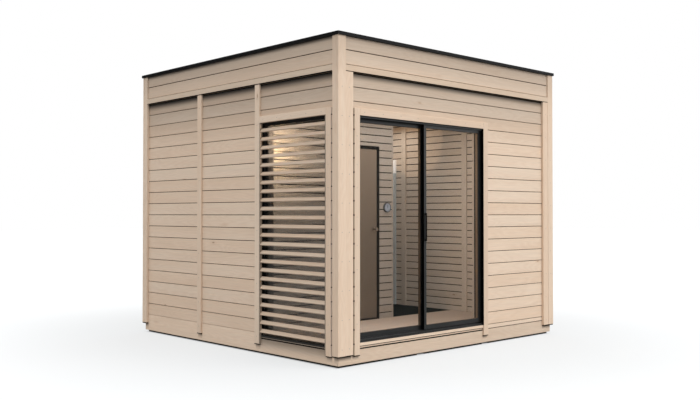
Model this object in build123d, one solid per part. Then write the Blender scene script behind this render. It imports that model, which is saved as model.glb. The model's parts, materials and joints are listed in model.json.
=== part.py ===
from build123d import *
import os

# Outdoor sauna cabin: a square timber cabin with a flat roof. The front has a glass sliding door, the
# left side has a louvre screen over a window, and a sauna room with its own door stands inside.
# Millimetres. The frame has +Z up and its origin on the ground at the middle of the cabin, with the
# sliding door facing -Y. The functions below measure from the near left corner at ground level:
# x to the right along the front, y from the front to the back, z up. save() moves pieces to the frame.

# Plan, over the corner posts
WIDTH = 3360.0
DEPTH = 3400.0

# Heights, from the ground up
RAIL_HEIGHT = 21.0
BASE_BOARD_HEIGHT = 136.5
STARTER_HEIGHT = 45.0
BOARD_PITCH = 129.0
BOARD_ROWS = 19
DRIP_HEIGHT = 62.0
FASCIA_HEIGHT = 254.5
CAP_HEIGHT = 30.0

# Layers of a wall, from the post face inwards
POST_THICK = 28.0
BATTEN_THICK = 20.0
FASCIA_THICK = 14.0
CLADDING_THICK = 20.0
WALL_FRAME_THICK = 102.0
LINING_THICK = 15.0
VENT_GAP = 12.0

# Base and floor
FLOOR_FRAME_HEIGHT = 124.0
FLOOR_BOARD_THICK = 20.0
RAIL_WIDTH = 60.0
RAIL_SETBACK = 55.0
RAIL_GAP = 110.0
RAIL_JOINT = 1.0
RAIL_GAP_X = (1090.0, 2105.0)

# Posts, battens and trims
POST_FACE = 94.0
POST_SECOND_BOARD = 88.0
SECOND_BOARD_RECESS = 3.0
FRONT_POST_SIDE = 81.0
BACK_POST_SIDE = 92.0
POST_BOTTOM = 105.0
BATTEN_WIDTH = 75.0
BATTEN_BOTTOM = 98.0
SIDE_BATTEN_SPACING = 1026.0
BACK_BATTEN_X = (1083.0, 2202.0)
INNER_BATTEN_Y = (1125.0, 2150.0)

# Room and roof
ROOM_HEIGHT = 2395.0
CAP_OVERHANG = 12.0
CAP_WIDTH = 130.0
WELL_DEPTH = 30.0
MEMBRANE_THICK = 4.0

# Sliding door: clear opening between the trims, and its leaves
DOOR_LEFT = 276.0
DOOR_WIDTH = 1808.0
DOOR_SILL = 207.0
DOOR_HEAD = 2270.0
DOOR_TRIM_WIDTH = 74.0
HEADER_HEIGHT = 65.0
TRIM_BOTTOM = 99.0
FRAME_MEMBER = 30.0
FRAME_SILL = 20.0
FRAME_DEPTH = 110.0
FRAME_STEP = 8.0
FRAME_LIP = 4.0
FRAME_LIP_HEIGHT = 18.0
LEAF_THICK = 36.0
LEAF_STILE = 43.0
MEETING_STILE = 34.0
LEAF_GLASS_THICK = 24.0
SLIDING_LEAF_RECESS = 47.0
LEAF_CLEARANCE = 5.0
MEETING_X = 1188.0
TRACK_RIB = 6.0
ROLLER_RADIUS = 11.0
ROLLER_WIDTH = 14.0
ROLLER_INSET = 120.0
RUNNING_GAP = 0.3
SILL_NOSE = 10.0
SILL_BOARD_HEIGHT = 28.0

# Pull handle on the meeting stile
HANDLE_BOTTOM = 1107.0
HANDLE_LENGTH = 275.0
HANDLE_WIDTH = 16.0
HANDLE_BAR_THICK = 9.0
HANDLE_STAND_OFF = 9.0
HANDLE_FOOT = 18.0
HANDLE_EASING = 3.0

# Louvre bay on the left side
LOUVRE_Y = 179.0
LOUVRE_WIDTH = 983.0
LOUVRE_HEAD = 2270.0
LOUVRE_TRIM_WIDTH = 70.0
SLAT_COUNT = 24
SLAT_PITCH = 85.6
TOP_SLAT_Z = 2195.0
SLAT_WIDTH = 40.0
SLAT_THICK = 15.0
SLAT_TILT = 50.0
SLAT_EASING = 2.0
SLAT_HOUSING = 5.0
HOUSING_CLEARANCE = 0.2
LOUVRE_RAIL_THICK = 10.0
LOUVRE_RAIL_DEPTH = 42.0
LOUVRE_SILL_THICK = 20.0
LOUVRE_SILL_HEIGHT = 34.5
WINDOW_FRAME_DEPTH = 48.0
WINDOW_MEMBER = 32.0
WINDOW_GLASS_THICK = 20.0

# Sauna room
PARTITION_Y = 1397.0
PARTITION_THICK = 70.0
PARTITION_END_X = 2157.0
SAUNA_DOOR_X = 1155.0
SAUNA_DOOR_WIDTH = 760.0
SAUNA_DOOR_HEAD = 1988.0
SAUNA_FRAME_MEMBER = 35.0
SAUNA_FRAME_PROUD = 10.0
SAUNA_SILL_HEIGHT = 15.0
SAUNA_STOP = 12.0
SAUNA_LEAF_THICK = 10.0
SAUNA_LEAF_SET_IN = 3.0
SAUNA_LEAF_GAP = 5.0
HINGE_RADIUS = 8.0
HINGE_PIN_RADIUS = 4.0
HINGE_KNUCKLE = 30.0
HINGE_END_KNUCKLE = 16.0
HINGE_PLATE_THICK = 3.0
HINGE_PLATE_WIDTH = 34.0
HINGE_SETTING = 260.0
PIN_CLEARANCE = 0.1
KNOB_FROM_EDGE = 42.0
KNOB_Z = 1198.0
ROSETTE_RADIUS = 25.0
ROSETTE_THICK = 6.0
KNOB_RADIUS = 23.0
KNOB_THICK = 26.0
KNOB_BEVEL = 6.0
KNOB_REACH = 52.0
KNOB_NECK_RADIUS = 9.0
DIAL_X = 2045.0
DIAL_Z = 1448.0
DIAL_RADIUS = 57.0
DIAL_THICK = 22.0
DIAL_BEVEL = 5.0

# Slim column on the right wall beside the sauna room
COLUMN_Y = 2335.0
COLUMN_WIDTH = 50.0
COLUMN_DEPTH = 30.0
COLUMN_HEIGHT = 1755.0
COLUMN_HEAD_HEIGHT = 175.0
COLUMN_HEAD_EASING = 8.0

# Layers worked out from the sizes above
CLADDING_FACE = POST_THICK
FRAME_FACE = CLADDING_FACE + CLADDING_THICK
LINING_BACK = FRAME_FACE + WALL_FRAME_THICK
INNER_FACE = LINING_BACK + LINING_THICK
TRIM_FACE = CLADDING_FACE - BATTEN_THICK
FASCIA_FACE = CLADDING_FACE - FASCIA_THICK
LOUVRE_BACK = TRIM_FACE + LOUVRE_RAIL_DEPTH
WINDOW_BACK = LOUVRE_BACK + WINDOW_FRAME_DEPTH

# Levels worked out from the sizes above
BASE_TOP = RAIL_HEIGHT + BASE_BOARD_HEIGHT
FIRST_BOARD = BASE_TOP + STARTER_HEIGHT
BOARDS_TOP = FIRST_BOARD + BOARD_ROWS * BOARD_PITCH
CLADDING_TOP = BOARDS_TOP - VENT_GAP
FASCIA_BASE = BOARDS_TOP + DRIP_HEIGHT
CAP_BASE = FASCIA_BASE + FASCIA_HEIGHT
FLOOR_FRAME_TOP = RAIL_HEIGHT + FLOOR_FRAME_HEIGHT
FLOOR_TOP = FLOOR_FRAME_TOP + FLOOR_BOARD_THICK
CEILING_BASE = FLOOR_TOP + ROOM_HEIGHT
WELL_BASE = CAP_BASE - WELL_DEPTH

DOOR_RIGHT = DOOR_LEFT + DOOR_WIDTH
FRAME_SEAT = SLIDING_LEAF_RECESS + LEAF_THICK + LEAF_CLEARANCE
FIXED_LEAF_RECESS = FRAME_SEAT + FRAME_LIP
LOUVRE_END = LOUVRE_Y + LOUVRE_WIDTH
LOUVRE_TRIM_Y = LOUVRE_Y - LOUVRE_TRIM_WIDTH
LOUVRE_MIDDLE = LOUVRE_Y + LOUVRE_WIDTH / 2
SAUNA_DOOR_END = SAUNA_DOOR_X + SAUNA_DOOR_WIDTH
PARTITION_BACK = PARTITION_Y + PARTITION_THICK
KERB_INSIDE = CAP_WIDTH - CAP_OVERHANG

MIDDLE_X = Plane(origin=(WIDTH / 2, 0, 0), z_dir=(1, 0, 0))
MIDDLE_Y = Plane(origin=(0, DEPTH / 2, 0), z_dir=(0, 1, 0))


def slab(x0, x1, y0, y1, z0, z1):
    """A square-edged block between two corners."""
    corner = (Align.MIN, Align.MIN, Align.MIN)
    return Pos(x0, y0, z0) * Box(x1 - x0, y1 - y0, z1 - z0, align=corner)


def upright(points, z0, z1):
    """A plan outline raised from one level to another."""
    return Pos(0, 0, z0) * extrude(make_face(Polyline(*points, close=True)), z1 - z0)


def both_sides(solid):
    """The piece and its mirror image on the other side of the cabin."""
    return [solid, mirror(solid, about=MIDDLE_X)]


def save(name, *solids):
    """Write one named sub-part, moved from the near left corner to the middle of the cabin."""
    moved = [Pos(-WIDTH / 2, -DEPTH / 2, 0) * solid for solid in solids]
    whole = moved[0] if len(moved) == 1 else Compound(children=moved)
    export_step(whole, os.path.join("parts", name + ".step"))


def base_rails():
    """Black packers under the floor: a side rail at each end, and rows between with two short gaps."""
    rails = both_sides(slab(RAIL_SETBACK, RAIL_SETBACK + RAIL_WIDTH, RAIL_SETBACK,
                            DEPTH - RAIL_SETBACK, 0, RAIL_HEIGHT))
    starts = [RAIL_SETBACK + RAIL_WIDTH + RAIL_JOINT] + [x + RAIL_GAP for x in RAIL_GAP_X]
    ends = list(RAIL_GAP_X) + [WIDTH - RAIL_SETBACK - RAIL_WIDTH - RAIL_JOINT]
    for y in (RAIL_SETBACK, (DEPTH - RAIL_WIDTH) / 2, DEPTH - RAIL_SETBACK - RAIL_WIDTH):
        rails += [slab(x0, x1, y, y + RAIL_WIDTH, 0, RAIL_HEIGHT) for x0, x1 in zip(starts, ends)]
    return rails


def base_boards():
    """The skirt: four mitred boards. The front one is lower, and the left one drops under the louvre."""
    face = CLADDING_FACE
    back = FRAME_FACE
    gap = RUNNING_GAP
    front = upright([(face + gap, face), (WIDTH - face - gap, face), (WIDTH - back - gap, back),
                     (back + gap, back)], RAIL_HEIGHT, BASE_TOP)
    rear = upright([(face + gap, DEPTH - face), (back + gap, DEPTH - back),
                    (WIDTH - back - gap, DEPTH - back), (WIDTH - face - gap, DEPTH - face)],
                   RAIL_HEIGHT, FIRST_BOARD)
    side = upright([(face, face + gap), (back, back + gap), (back, DEPTH - back - gap),
                    (face, DEPTH - face - gap)], RAIL_HEIGHT, FIRST_BOARD)
    left = side - slab(face, back, LOUVRE_Y, LOUVRE_END, BASE_TOP, FIRST_BOARD)
    return [front, rear, left, mirror(side, about=MIDDLE_X)]


def floor_frame():
    return slab(FRAME_FACE, WIDTH - FRAME_FACE, FRAME_FACE, DEPTH - FRAME_FACE,
                RAIL_HEIGHT, FLOOR_FRAME_TOP)


def floor_boards():
    """The planked floor of the front room and the sauna room: an L in plan."""
    edge = LINING_BACK
    return upright([(edge, edge), (WIDTH - edge, edge), (WIDTH - edge, PARTITION_Y),
                    (PARTITION_END_X, PARTITION_Y), (PARTITION_END_X, DEPTH - edge),
                    (edge, DEPTH - edge)], FLOOR_FRAME_TOP, FLOOR_TOP)


def wet_floor():
    """The dark floor between the sauna room and the right wall."""
    return slab(PARTITION_END_X, WIDTH - LINING_BACK, PARTITION_Y, DEPTH - LINING_BACK,
                FLOOR_FRAME_TOP, FLOOR_TOP)


def front_wall_piece(x0, x1, z0):
    return slab(x0, x1, FRAME_FACE, LINING_BACK, z0, BOARDS_TOP)


def left_wall_piece(y0, y1, z0):
    return slab(FRAME_FACE, LINING_BACK, y0, y1, z0, BOARDS_TOP)


def front_cladding():
    """The front boarding, with the hole for the door frame cut through and the strip over the base. Like
    the other sides it stops short of the drip course, so that the wall can breathe at its top."""
    sheet = slab(FRAME_FACE, WIDTH - FRAME_FACE, CLADDING_FACE, FRAME_FACE, BASE_TOP, CLADDING_TOP)
    hole = slab(DOOR_LEFT - FRAME_MEMBER, DOOR_RIGHT + FRAME_MEMBER, 0, INNER_FACE,
                BASE_TOP, DOOR_HEAD + FRAME_MEMBER)
    return sheet - hole


def left_cladding():
    sheet = slab(CLADDING_FACE, FRAME_FACE, CLADDING_FACE, DEPTH - CLADDING_FACE, FIRST_BOARD, CLADDING_TOP)
    return sheet - slab(0, INNER_FACE, LOUVRE_Y, LOUVRE_END, BASE_TOP, LOUVRE_HEAD)


def right_cladding():
    return slab(WIDTH - FRAME_FACE, WIDTH - CLADDING_FACE, CLADDING_FACE, DEPTH - CLADDING_FACE,
                FIRST_BOARD, CLADDING_TOP)


def back_cladding():
    return slab(FRAME_FACE, WIDTH - FRAME_FACE, DEPTH - FRAME_FACE, DEPTH - CLADDING_FACE,
                FIRST_BOARD, CLADDING_TOP)


def window_opening(x0, x1):
    """The clear opening of the louvre window, as deep as it is asked for."""
    return slab(x0, x1, LOUVRE_Y + WINDOW_MEMBER, LOUVRE_END - WINDOW_MEMBER,
                FLOOR_TOP + WINDOW_MEMBER, LOUVRE_HEAD - WINDOW_MEMBER)


def wall_lining():
    """The inner boarding of the four outside walls. At the door and at the louvre window it has reveals
    that return to their frames."""
    gap = RUNNING_GAP
    front = slab(LINING_BACK, WIDTH - LINING_BACK, LINING_BACK, INNER_FACE, FLOOR_TOP, BOARDS_TOP)
    rear = mirror(front, about=MIDDLE_Y)
    reveal = slab(DOOR_LEFT - FRAME_MEMBER, DOOR_RIGHT + FRAME_MEMBER,
                  CLADDING_FACE + FRAME_DEPTH, LINING_BACK, DOOR_SILL, DOOR_HEAD + FRAME_MEMBER)
    front = front + reveal - slab(DOOR_LEFT, DOOR_RIGHT, 0, INNER_FACE, 0, DOOR_HEAD)
    side = slab(LINING_BACK, INNER_FACE, INNER_FACE + gap, DEPTH - INNER_FACE - gap, FLOOR_TOP, BOARDS_TOP)
    casing = slab(WINDOW_BACK, LINING_BACK, LOUVRE_Y, LOUVRE_END, FLOOR_FRAME_TOP, LOUVRE_HEAD)
    left = side + casing - window_opening(WINDOW_BACK, INNER_FACE)
    return [front, rear, left, mirror(side, about=MIDDLE_X)]


def corner_post(side_width):
    """An angled corner board up to the roof, with a second board beside it under the fascia."""
    angle = upright([(0, 0), (POST_FACE, 0), (POST_FACE, POST_THICK), (POST_THICK, POST_THICK),
                     (POST_THICK, side_width), (0, side_width)], POST_BOTTOM, CAP_BASE)
    second = slab(POST_FACE, POST_FACE + POST_SECOND_BOARD, SECOND_BOARD_RECESS, POST_THICK,
                  POST_BOTTOM, BOARDS_TOP)
    return angle + second


def corner_posts():
    front = both_sides(corner_post(FRONT_POST_SIDE))
    return front + [mirror(post, about=MIDDLE_Y) for post in both_sides(corner_post(BACK_POST_SIDE))]


def band(face, z0, z1):
    """One board on each side of the cabin, between the corner posts."""
    front = slab(POST_FACE, WIDTH - POST_FACE, face, CLADDING_FACE, z0, z1)
    side = slab(face, CLADDING_FACE, FRONT_POST_SIDE, DEPTH - BACK_POST_SIDE, z0, z1)
    return [front, mirror(front, about=MIDDLE_Y)] + both_sides(side)


def wall_battens():
    """Upright battens over the board joints of the sides and the back."""
    battens = []
    for y in (LOUVRE_END, LOUVRE_END + SIDE_BATTEN_SPACING):
        battens += both_sides(slab(TRIM_FACE, CLADDING_FACE, y, y + BATTEN_WIDTH, BATTEN_BOTTOM, BOARDS_TOP))
    for x in BACK_BATTEN_X:
        battens.append(slab(x, x + BATTEN_WIDTH, DEPTH - CLADDING_FACE, DEPTH - TRIM_FACE,
                            BATTEN_BOTTOM, BOARDS_TOP))
    return battens


def inner_battens():
    inside = WIDTH - INNER_FACE
    return [slab(inside - BATTEN_THICK, inside, y, y + BATTEN_WIDTH, FLOOR_TOP, CEILING_BASE)
            for y in INNER_BATTEN_Y]


def ceiling():
    return slab(INNER_FACE, WIDTH - INNER_FACE, INNER_FACE, DEPTH - INNER_FACE, CEILING_BASE, BOARDS_TOP)


def roof_field(edge, z0, z1):
    """A level sheet inside the roof's kerb, set in by the same edge on all four sides."""
    return slab(edge, WIDTH - edge, edge, DEPTH - edge, z0, z1)


def roof_deck():
    """The roof's solid deck with a shallow tray inside its kerb."""
    return roof_field(CLADDING_FACE, BOARDS_TOP, CAP_BASE) - roof_field(KERB_INSIDE, WELL_BASE, CAP_BASE)


def roof_membrane():
    return roof_field(KERB_INSIDE + RUNNING_GAP, WELL_BASE, WELL_BASE + MEMBRANE_THICK)


def roof_cap():
    """The black edge profile, a ring that stands just proud of the posts."""
    top = CAP_BASE + CAP_HEIGHT
    return roof_field(-CAP_OVERHANG, CAP_BASE, top) - roof_field(KERB_INSIDE, CAP_BASE, top)


def door_trims():
    """Flat trims round the sliding door: two uprights and the header between them, one piece."""
    outer = slab(DOOR_LEFT - DOOR_TRIM_WIDTH, DOOR_RIGHT + DOOR_TRIM_WIDTH, TRIM_FACE, CLADDING_FACE,
                 TRIM_BOTTOM, DOOR_HEAD + HEADER_HEIGHT)
    return outer - slab(DOOR_LEFT, DOOR_RIGHT, 0, CLADDING_FACE, 0, DOOR_HEAD)


def door_sill():
    """The timber sill under the door frame, with a nosing board over a plain one."""
    x0, x1 = DOOR_LEFT + RUNNING_GAP, DOOR_RIGHT - RUNNING_GAP
    body = slab(x0, x1, FRAME_FACE, LINING_BACK, FLOOR_FRAME_TOP, DOOR_SILL)
    lower = slab(x0, x1, CLADDING_FACE, FRAME_FACE, BASE_TOP, DOOR_SILL - SILL_BOARD_HEIGHT)
    nosing = slab(x0, x1, CLADDING_FACE - SILL_NOSE, FRAME_FACE, DOOR_SILL - SILL_BOARD_HEIGHT, DOOR_SILL)
    return body + lower + nosing


def door_frame():
    """The black frame of the sliding door: a deep ring with an outer track and a raised inner seat."""
    face, back = CLADDING_FACE, CLADDING_FACE + FRAME_DEPTH
    outer = slab(DOOR_LEFT - FRAME_MEMBER, DOOR_RIGHT + FRAME_MEMBER, face, back,
                 DOOR_SILL, DOOR_HEAD + FRAME_MEMBER)
    track = slab(DOOR_LEFT, DOOR_RIGHT, face, FRAME_SEAT, DOOR_SILL + FRAME_SILL, DOOR_HEAD)
    bed = slab(DOOR_LEFT, DOOR_RIGHT, FRAME_SEAT, back, DOOR_SILL + FRAME_SILL + FRAME_STEP,
               DOOR_HEAD - FRAME_STEP)
    lip = slab(DOOR_LEFT, DOOR_RIGHT, face, face + FRAME_LIP, DOOR_HEAD - FRAME_LIP_HEIGHT, DOOR_HEAD)
    middle = SLIDING_LEAF_RECESS + LEAF_THICK / 2
    rib = slab(DOOR_LEFT, DOOR_RIGHT, middle - TRACK_RIB / 2, middle + TRACK_RIB / 2,
               DOOR_SILL + FRAME_SILL, DOOR_SILL + FRAME_SILL + TRACK_RIB)
    return outer - track - bed + lip + rib


def leaf_ring(x0, x1, recess, z0, z1, left_stile, right_stile):
    """A leaf's frame: stiles and rails round one sheet of glass."""
    outer = slab(x0, x1, recess, recess + LEAF_THICK, z0, z1)
    return outer - slab(x0 + left_stile, x1 - right_stile, recess, recess + LEAF_THICK,
                        z0 + LEAF_STILE, z1 - LEAF_STILE)


def leaf_glass(x0, x1, recess, z0, z1, left_stile, right_stile):
    """The sealed glass unit that fills a leaf's frame, at the middle of its thickness."""
    face = recess + (LEAF_THICK - LEAF_GLASS_THICK) / 2
    return slab(x0 + left_stile, x1 - right_stile, face, face + LEAF_GLASS_THICK,
                z0 + LEAF_STILE, z1 - LEAF_STILE)


def fixed_leaf():
    """The left leaf's extent: it stands in the inner seat, from the jamb to the meeting stiles."""
    return (DOOR_LEFT, MEETING_X + MEETING_STILE, FIXED_LEAF_RECESS, DOOR_SILL + FRAME_SILL + FRAME_STEP,
            DOOR_HEAD - FRAME_STEP, LEAF_STILE, MEETING_STILE)


def sliding_leaf():
    """The right leaf's extent: it runs in the outer track, clear of the frame all round."""
    return (MEETING_X, DOOR_RIGHT - LEAF_CLEARANCE, SLIDING_LEAF_RECESS,
            DOOR_SILL + FRAME_SILL + TRACK_RIB + LEAF_CLEARANCE, DOOR_HEAD - LEAF_CLEARANCE,
            MEETING_STILE, LEAF_STILE)


def sliding_leaf_frame():
    """The sliding leaf's stiles and rails, with two rollers that stand on the track rib."""
    x0, x1, recess, z0, z1, left, right = sliding_leaf()
    axle_z = z0 - LEAF_CLEARANCE + RUNNING_GAP + ROLLER_RADIUS
    leaf = leaf_ring(x0, x1, recess, z0, z1, left, right)
    for x in (x0 + ROLLER_INSET, x1 - ROLLER_INSET):
        leaf += Pos(x, recess + LEAF_THICK / 2, axle_z) * Rot(X=90) * Cylinder(ROLLER_RADIUS, ROLLER_WIDTH)
    return leaf


def sliding_leaf_handle():
    """A slim upright pull bar on two feet, on the meeting stile."""
    middle = MEETING_X + MEETING_STILE / 2
    x0, x1 = middle - HANDLE_WIDTH / 2, middle + HANDLE_WIDTH / 2
    foot_face = SLIDING_LEAF_RECESS - HANDLE_STAND_OFF
    bar = slab(x0, x1, foot_face - HANDLE_BAR_THICK, foot_face, HANDLE_BOTTOM, HANDLE_BOTTOM + HANDLE_LENGTH)
    bar = fillet(bar.edges().filter_by(Axis.Z), HANDLE_EASING)
    for z in (HANDLE_BOTTOM, HANDLE_BOTTOM + HANDLE_LENGTH - HANDLE_FOOT):
        bar += slab(x0, x1, foot_face, SLIDING_LEAF_RECESS, z, z + HANDLE_FOOT)
    return bar


def louvre_trims():
    """The near upright and the header of the louvre bay. The far side is closed by a wall batten."""
    side = slab(TRIM_FACE, CLADDING_FACE, LOUVRE_TRIM_Y, LOUVRE_TRIM_Y + LOUVRE_TRIM_WIDTH,
                BATTEN_BOTTOM, LOUVRE_HEAD + HEADER_HEIGHT)
    head = slab(TRIM_FACE, CLADDING_FACE, LOUVRE_TRIM_Y + LOUVRE_TRIM_WIDTH, LOUVRE_END,
                LOUVRE_HEAD, LOUVRE_HEAD + HEADER_HEIGHT)
    return side + head


def slat_blank(length, clearance=0.0):
    """A slat's block before it is placed, with its inner edge turned up so that it sheds rain."""
    return Rot(Y=-SLAT_TILT) * Box(SLAT_WIDTH + 2 * clearance, length, SLAT_THICK + 2 * clearance)


def slat_levels():
    return [TOP_SLAT_Z - SLAT_PITCH * row for row in range(SLAT_COUNT)]


def placed_on_rails(blank):
    """One copy of a slat's shape at each level, half way through the depth of the rails."""
    return [Pos(TRIM_FACE + LOUVRE_RAIL_DEPTH / 2, LOUVRE_MIDDLE, z) * blank for z in slat_levels()]


def louvre_slats():
    """The tilted slats, each with its ends housed in the rails."""
    length = LOUVRE_WIDTH - 2 * (LOUVRE_RAIL_THICK - SLAT_HOUSING) - 2 * HOUSING_CLEARANCE
    slat = slat_blank(length)
    return placed_on_rails(chamfer(slat.edges().filter_by(Axis.Y), SLAT_EASING))


def louvre_rails():
    """The two upright rails of the screen, flush with the trims, with a slanted housing cut for each
    slat's end and a foot that laps over the base board, and the sill board between them."""
    foot = slab(TRIM_FACE, CLADDING_FACE, LOUVRE_Y, LOUVRE_Y + LOUVRE_RAIL_THICK, BATTEN_BOTTOM, BASE_TOP)
    near = foot + slab(TRIM_FACE, LOUVRE_BACK, LOUVRE_Y, LOUVRE_Y + LOUVRE_RAIL_THICK, BASE_TOP, LOUVRE_HEAD)
    far = mirror(near, about=Plane(origin=(0, LOUVRE_MIDDLE, 0), z_dir=(0, 1, 0)))
    cutter = slat_blank(LOUVRE_WIDTH - 2 * (LOUVRE_RAIL_THICK - SLAT_HOUSING), HOUSING_CLEARANCE)
    cutters = placed_on_rails(cutter)
    sill = slab(LOUVRE_BACK - LOUVRE_SILL_THICK, LOUVRE_BACK, LOUVRE_Y + LOUVRE_RAIL_THICK,
                LOUVRE_END - LOUVRE_RAIL_THICK, BASE_TOP, BASE_TOP + LOUVRE_SILL_HEIGHT)
    return [near - cutters, far - cutters, sill]


def louvre_window_frame():
    """The black window frame right behind the screen."""
    outer = slab(LOUVRE_BACK, WINDOW_BACK, LOUVRE_Y, LOUVRE_END, FLOOR_FRAME_TOP, LOUVRE_HEAD)
    return outer - window_opening(LOUVRE_BACK, WINDOW_BACK)


def louvre_window_glass():
    middle = (LOUVRE_BACK + WINDOW_BACK) / 2
    return window_opening(middle - WINDOW_GLASS_THICK / 2, middle + WINDOW_GLASS_THICK / 2)


def partition_piece(x0, x1, z0):
    return slab(x0, x1, PARTITION_Y, PARTITION_BACK, z0, CEILING_BASE)


def sauna_return_wall():
    """The side wall of the sauna room, from the partition's end to the back of the cabin."""
    return slab(PARTITION_END_X - PARTITION_THICK, PARTITION_END_X, PARTITION_BACK, DEPTH - INNER_FACE,
                FLOOR_TOP, CEILING_BASE)


def sauna_leaf_extent():
    """Left, right, front, back, bottom and top of the sauna door's leaf."""
    front = PARTITION_Y - SAUNA_FRAME_PROUD + SAUNA_LEAF_SET_IN
    return (SAUNA_DOOR_X + SAUNA_FRAME_MEMBER + SAUNA_LEAF_GAP,
            SAUNA_DOOR_END - SAUNA_FRAME_MEMBER - SAUNA_LEAF_GAP,
            front, front + SAUNA_LEAF_THICK,
            FLOOR_TOP + SAUNA_SILL_HEIGHT + SAUNA_LEAF_GAP,
            FLOOR_TOP + SAUNA_DOOR_HEAD - SAUNA_FRAME_MEMBER - SAUNA_LEAF_GAP)


def hinge_axis():
    """Where the sauna door's hinge pins stand in plan: in front of the gap at the leaf's left edge."""
    left, _, front, _, _, _ = sauna_leaf_extent()
    return left - SAUNA_LEAF_GAP, front - HINGE_PLATE_THICK - HINGE_RADIUS


def hinge_levels():
    _, _, _, _, bottom, top = sauna_leaf_extent()
    return (bottom + HINGE_SETTING, top - HINGE_SETTING)


def sauna_door_frame():
    """The sauna door's black frame with its stop, and the fixed halves of the hinges with their pins."""
    y0 = PARTITION_Y - SAUNA_FRAME_PROUD
    head = FLOOR_TOP + SAUNA_DOOR_HEAD
    outer = slab(SAUNA_DOOR_X, SAUNA_DOOR_END, y0, PARTITION_BACK, FLOOR_TOP, head)
    inner = slab(SAUNA_DOOR_X + SAUNA_FRAME_MEMBER, SAUNA_DOOR_END - SAUNA_FRAME_MEMBER, y0, PARTITION_BACK,
                 FLOOR_TOP + SAUNA_SILL_HEIGHT, head - SAUNA_FRAME_MEMBER)
    left, right, _, back, bottom, top = sauna_leaf_extent()
    stop_y = back + SAUNA_LEAF_GAP
    stop = slab(SAUNA_DOOR_X + SAUNA_FRAME_MEMBER, SAUNA_DOOR_END - SAUNA_FRAME_MEMBER,
                stop_y, stop_y + SAUNA_STOP, FLOOR_TOP + SAUNA_SILL_HEIGHT, head - SAUNA_FRAME_MEMBER)
    stop -= slab(left + SAUNA_STOP, right - SAUNA_STOP, stop_y, stop_y + SAUNA_STOP,
                 FLOOR_TOP, top - SAUNA_STOP)
    frame = outer - inner + stop
    x, y = hinge_axis()
    for z in hinge_levels():
        reach = HINGE_KNUCKLE / 2 + RUNNING_GAP
        frame += Pos(x, y, z) * Cylinder(HINGE_PIN_RADIUS, 2 * reach)
        for centre in (z - reach - HINGE_END_KNUCKLE / 2, z + reach + HINGE_END_KNUCKLE / 2):
            frame += Pos(x, y, centre) * Cylinder(HINGE_RADIUS, HINGE_END_KNUCKLE)
            frame += slab(x - HINGE_PLATE_WIDTH, x, y, y0, centre - HINGE_END_KNUCKLE / 2,
                          centre + HINGE_END_KNUCKLE / 2)
    return frame


def sauna_door_leaf():
    """The tinted glass leaf."""
    return slab(*sauna_leaf_extent())


def sauna_door_hinges():
    """The moving halves of the hinges: a plate on the glass and a knuckle round each pin."""
    left, _, front, _, _, _ = sauna_leaf_extent()
    x, y = hinge_axis()
    halves = []
    for z in hinge_levels():
        z0, z1 = z - HINGE_KNUCKLE / 2, z + HINGE_KNUCKLE / 2
        half = Pos(x, y, z) * Cylinder(HINGE_RADIUS, HINGE_KNUCKLE)
        half += slab(x, left + HINGE_PLATE_WIDTH, front - HINGE_PLATE_THICK, front, z0, z1)
        half += slab(x, x + HINGE_RADIUS, y, front, z0, z1)
        halves.append(half - Pos(x, y, z) * Cylinder(HINGE_PIN_RADIUS + PIN_CLEARANCE, HINGE_KNUCKLE))
    return halves


def knob():
    """A round grip with bevelled rims on a neck and a flat rosette, standing on its rosette."""
    base = (Align.CENTER, Align.CENTER, Align.MIN)
    grip = Cylinder(KNOB_RADIUS, KNOB_THICK, align=base)
    grip = chamfer(grip.edges().filter_by(GeomType.CIRCLE), KNOB_BEVEL)
    rosette = Cylinder(ROSETTE_RADIUS, ROSETTE_THICK, align=base)
    neck = Cylinder(KNOB_NECK_RADIUS, KNOB_REACH - KNOB_THICK / 2, align=base)
    return rosette + neck + Pos(0, 0, KNOB_REACH - KNOB_THICK) * grip


def sauna_door_knob():
    """A round knob on a rosette on each face of the leaf."""
    _, right, front, back, _, _ = sauna_leaf_extent()
    x = right - KNOB_FROM_EDGE
    return [Pos(x, front, KNOB_Z) * Rot(X=90) * knob(), Pos(x, back, KNOB_Z) * Rot(X=-90) * knob()]


def wall_dial():
    """A round dial on the partition, with a bevelled rim."""
    dial = Cylinder(DIAL_RADIUS, DIAL_THICK, align=(Align.CENTER, Align.CENTER, Align.MIN))
    dial = chamfer(dial.edges().filter_by(GeomType.CIRCLE).sort_by(Axis.Z)[-1], DIAL_BEVEL)
    return Pos(DIAL_X, PARTITION_Y, DIAL_Z) * Rot(X=90) * dial


def shower_column():
    inside = WIDTH - INNER_FACE
    return slab(inside - COLUMN_DEPTH, inside, COLUMN_Y, COLUMN_Y + COLUMN_WIDTH,
                FLOOR_TOP, FLOOR_TOP + COLUMN_HEIGHT)


def column_head():
    """The white end of the column, a little stouter than its shaft."""
    inside = WIDTH - INNER_FACE
    z0 = FLOOR_TOP + COLUMN_HEIGHT
    head = slab(inside - COLUMN_DEPTH, inside, COLUMN_Y, COLUMN_Y + COLUMN_WIDTH,
                z0, z0 + COLUMN_HEAD_HEIGHT)
    return fillet(head.edges().filter_by(Axis.Z).group_by(Axis.X)[0], COLUMN_HEAD_EASING)


os.makedirs("parts", exist_ok=True)

save("base_rails", *base_rails())
save("base_boards", *base_boards())
save("floor_frame", floor_frame())
save("floor_boards", floor_boards())
save("wet_floor", wet_floor())

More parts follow.
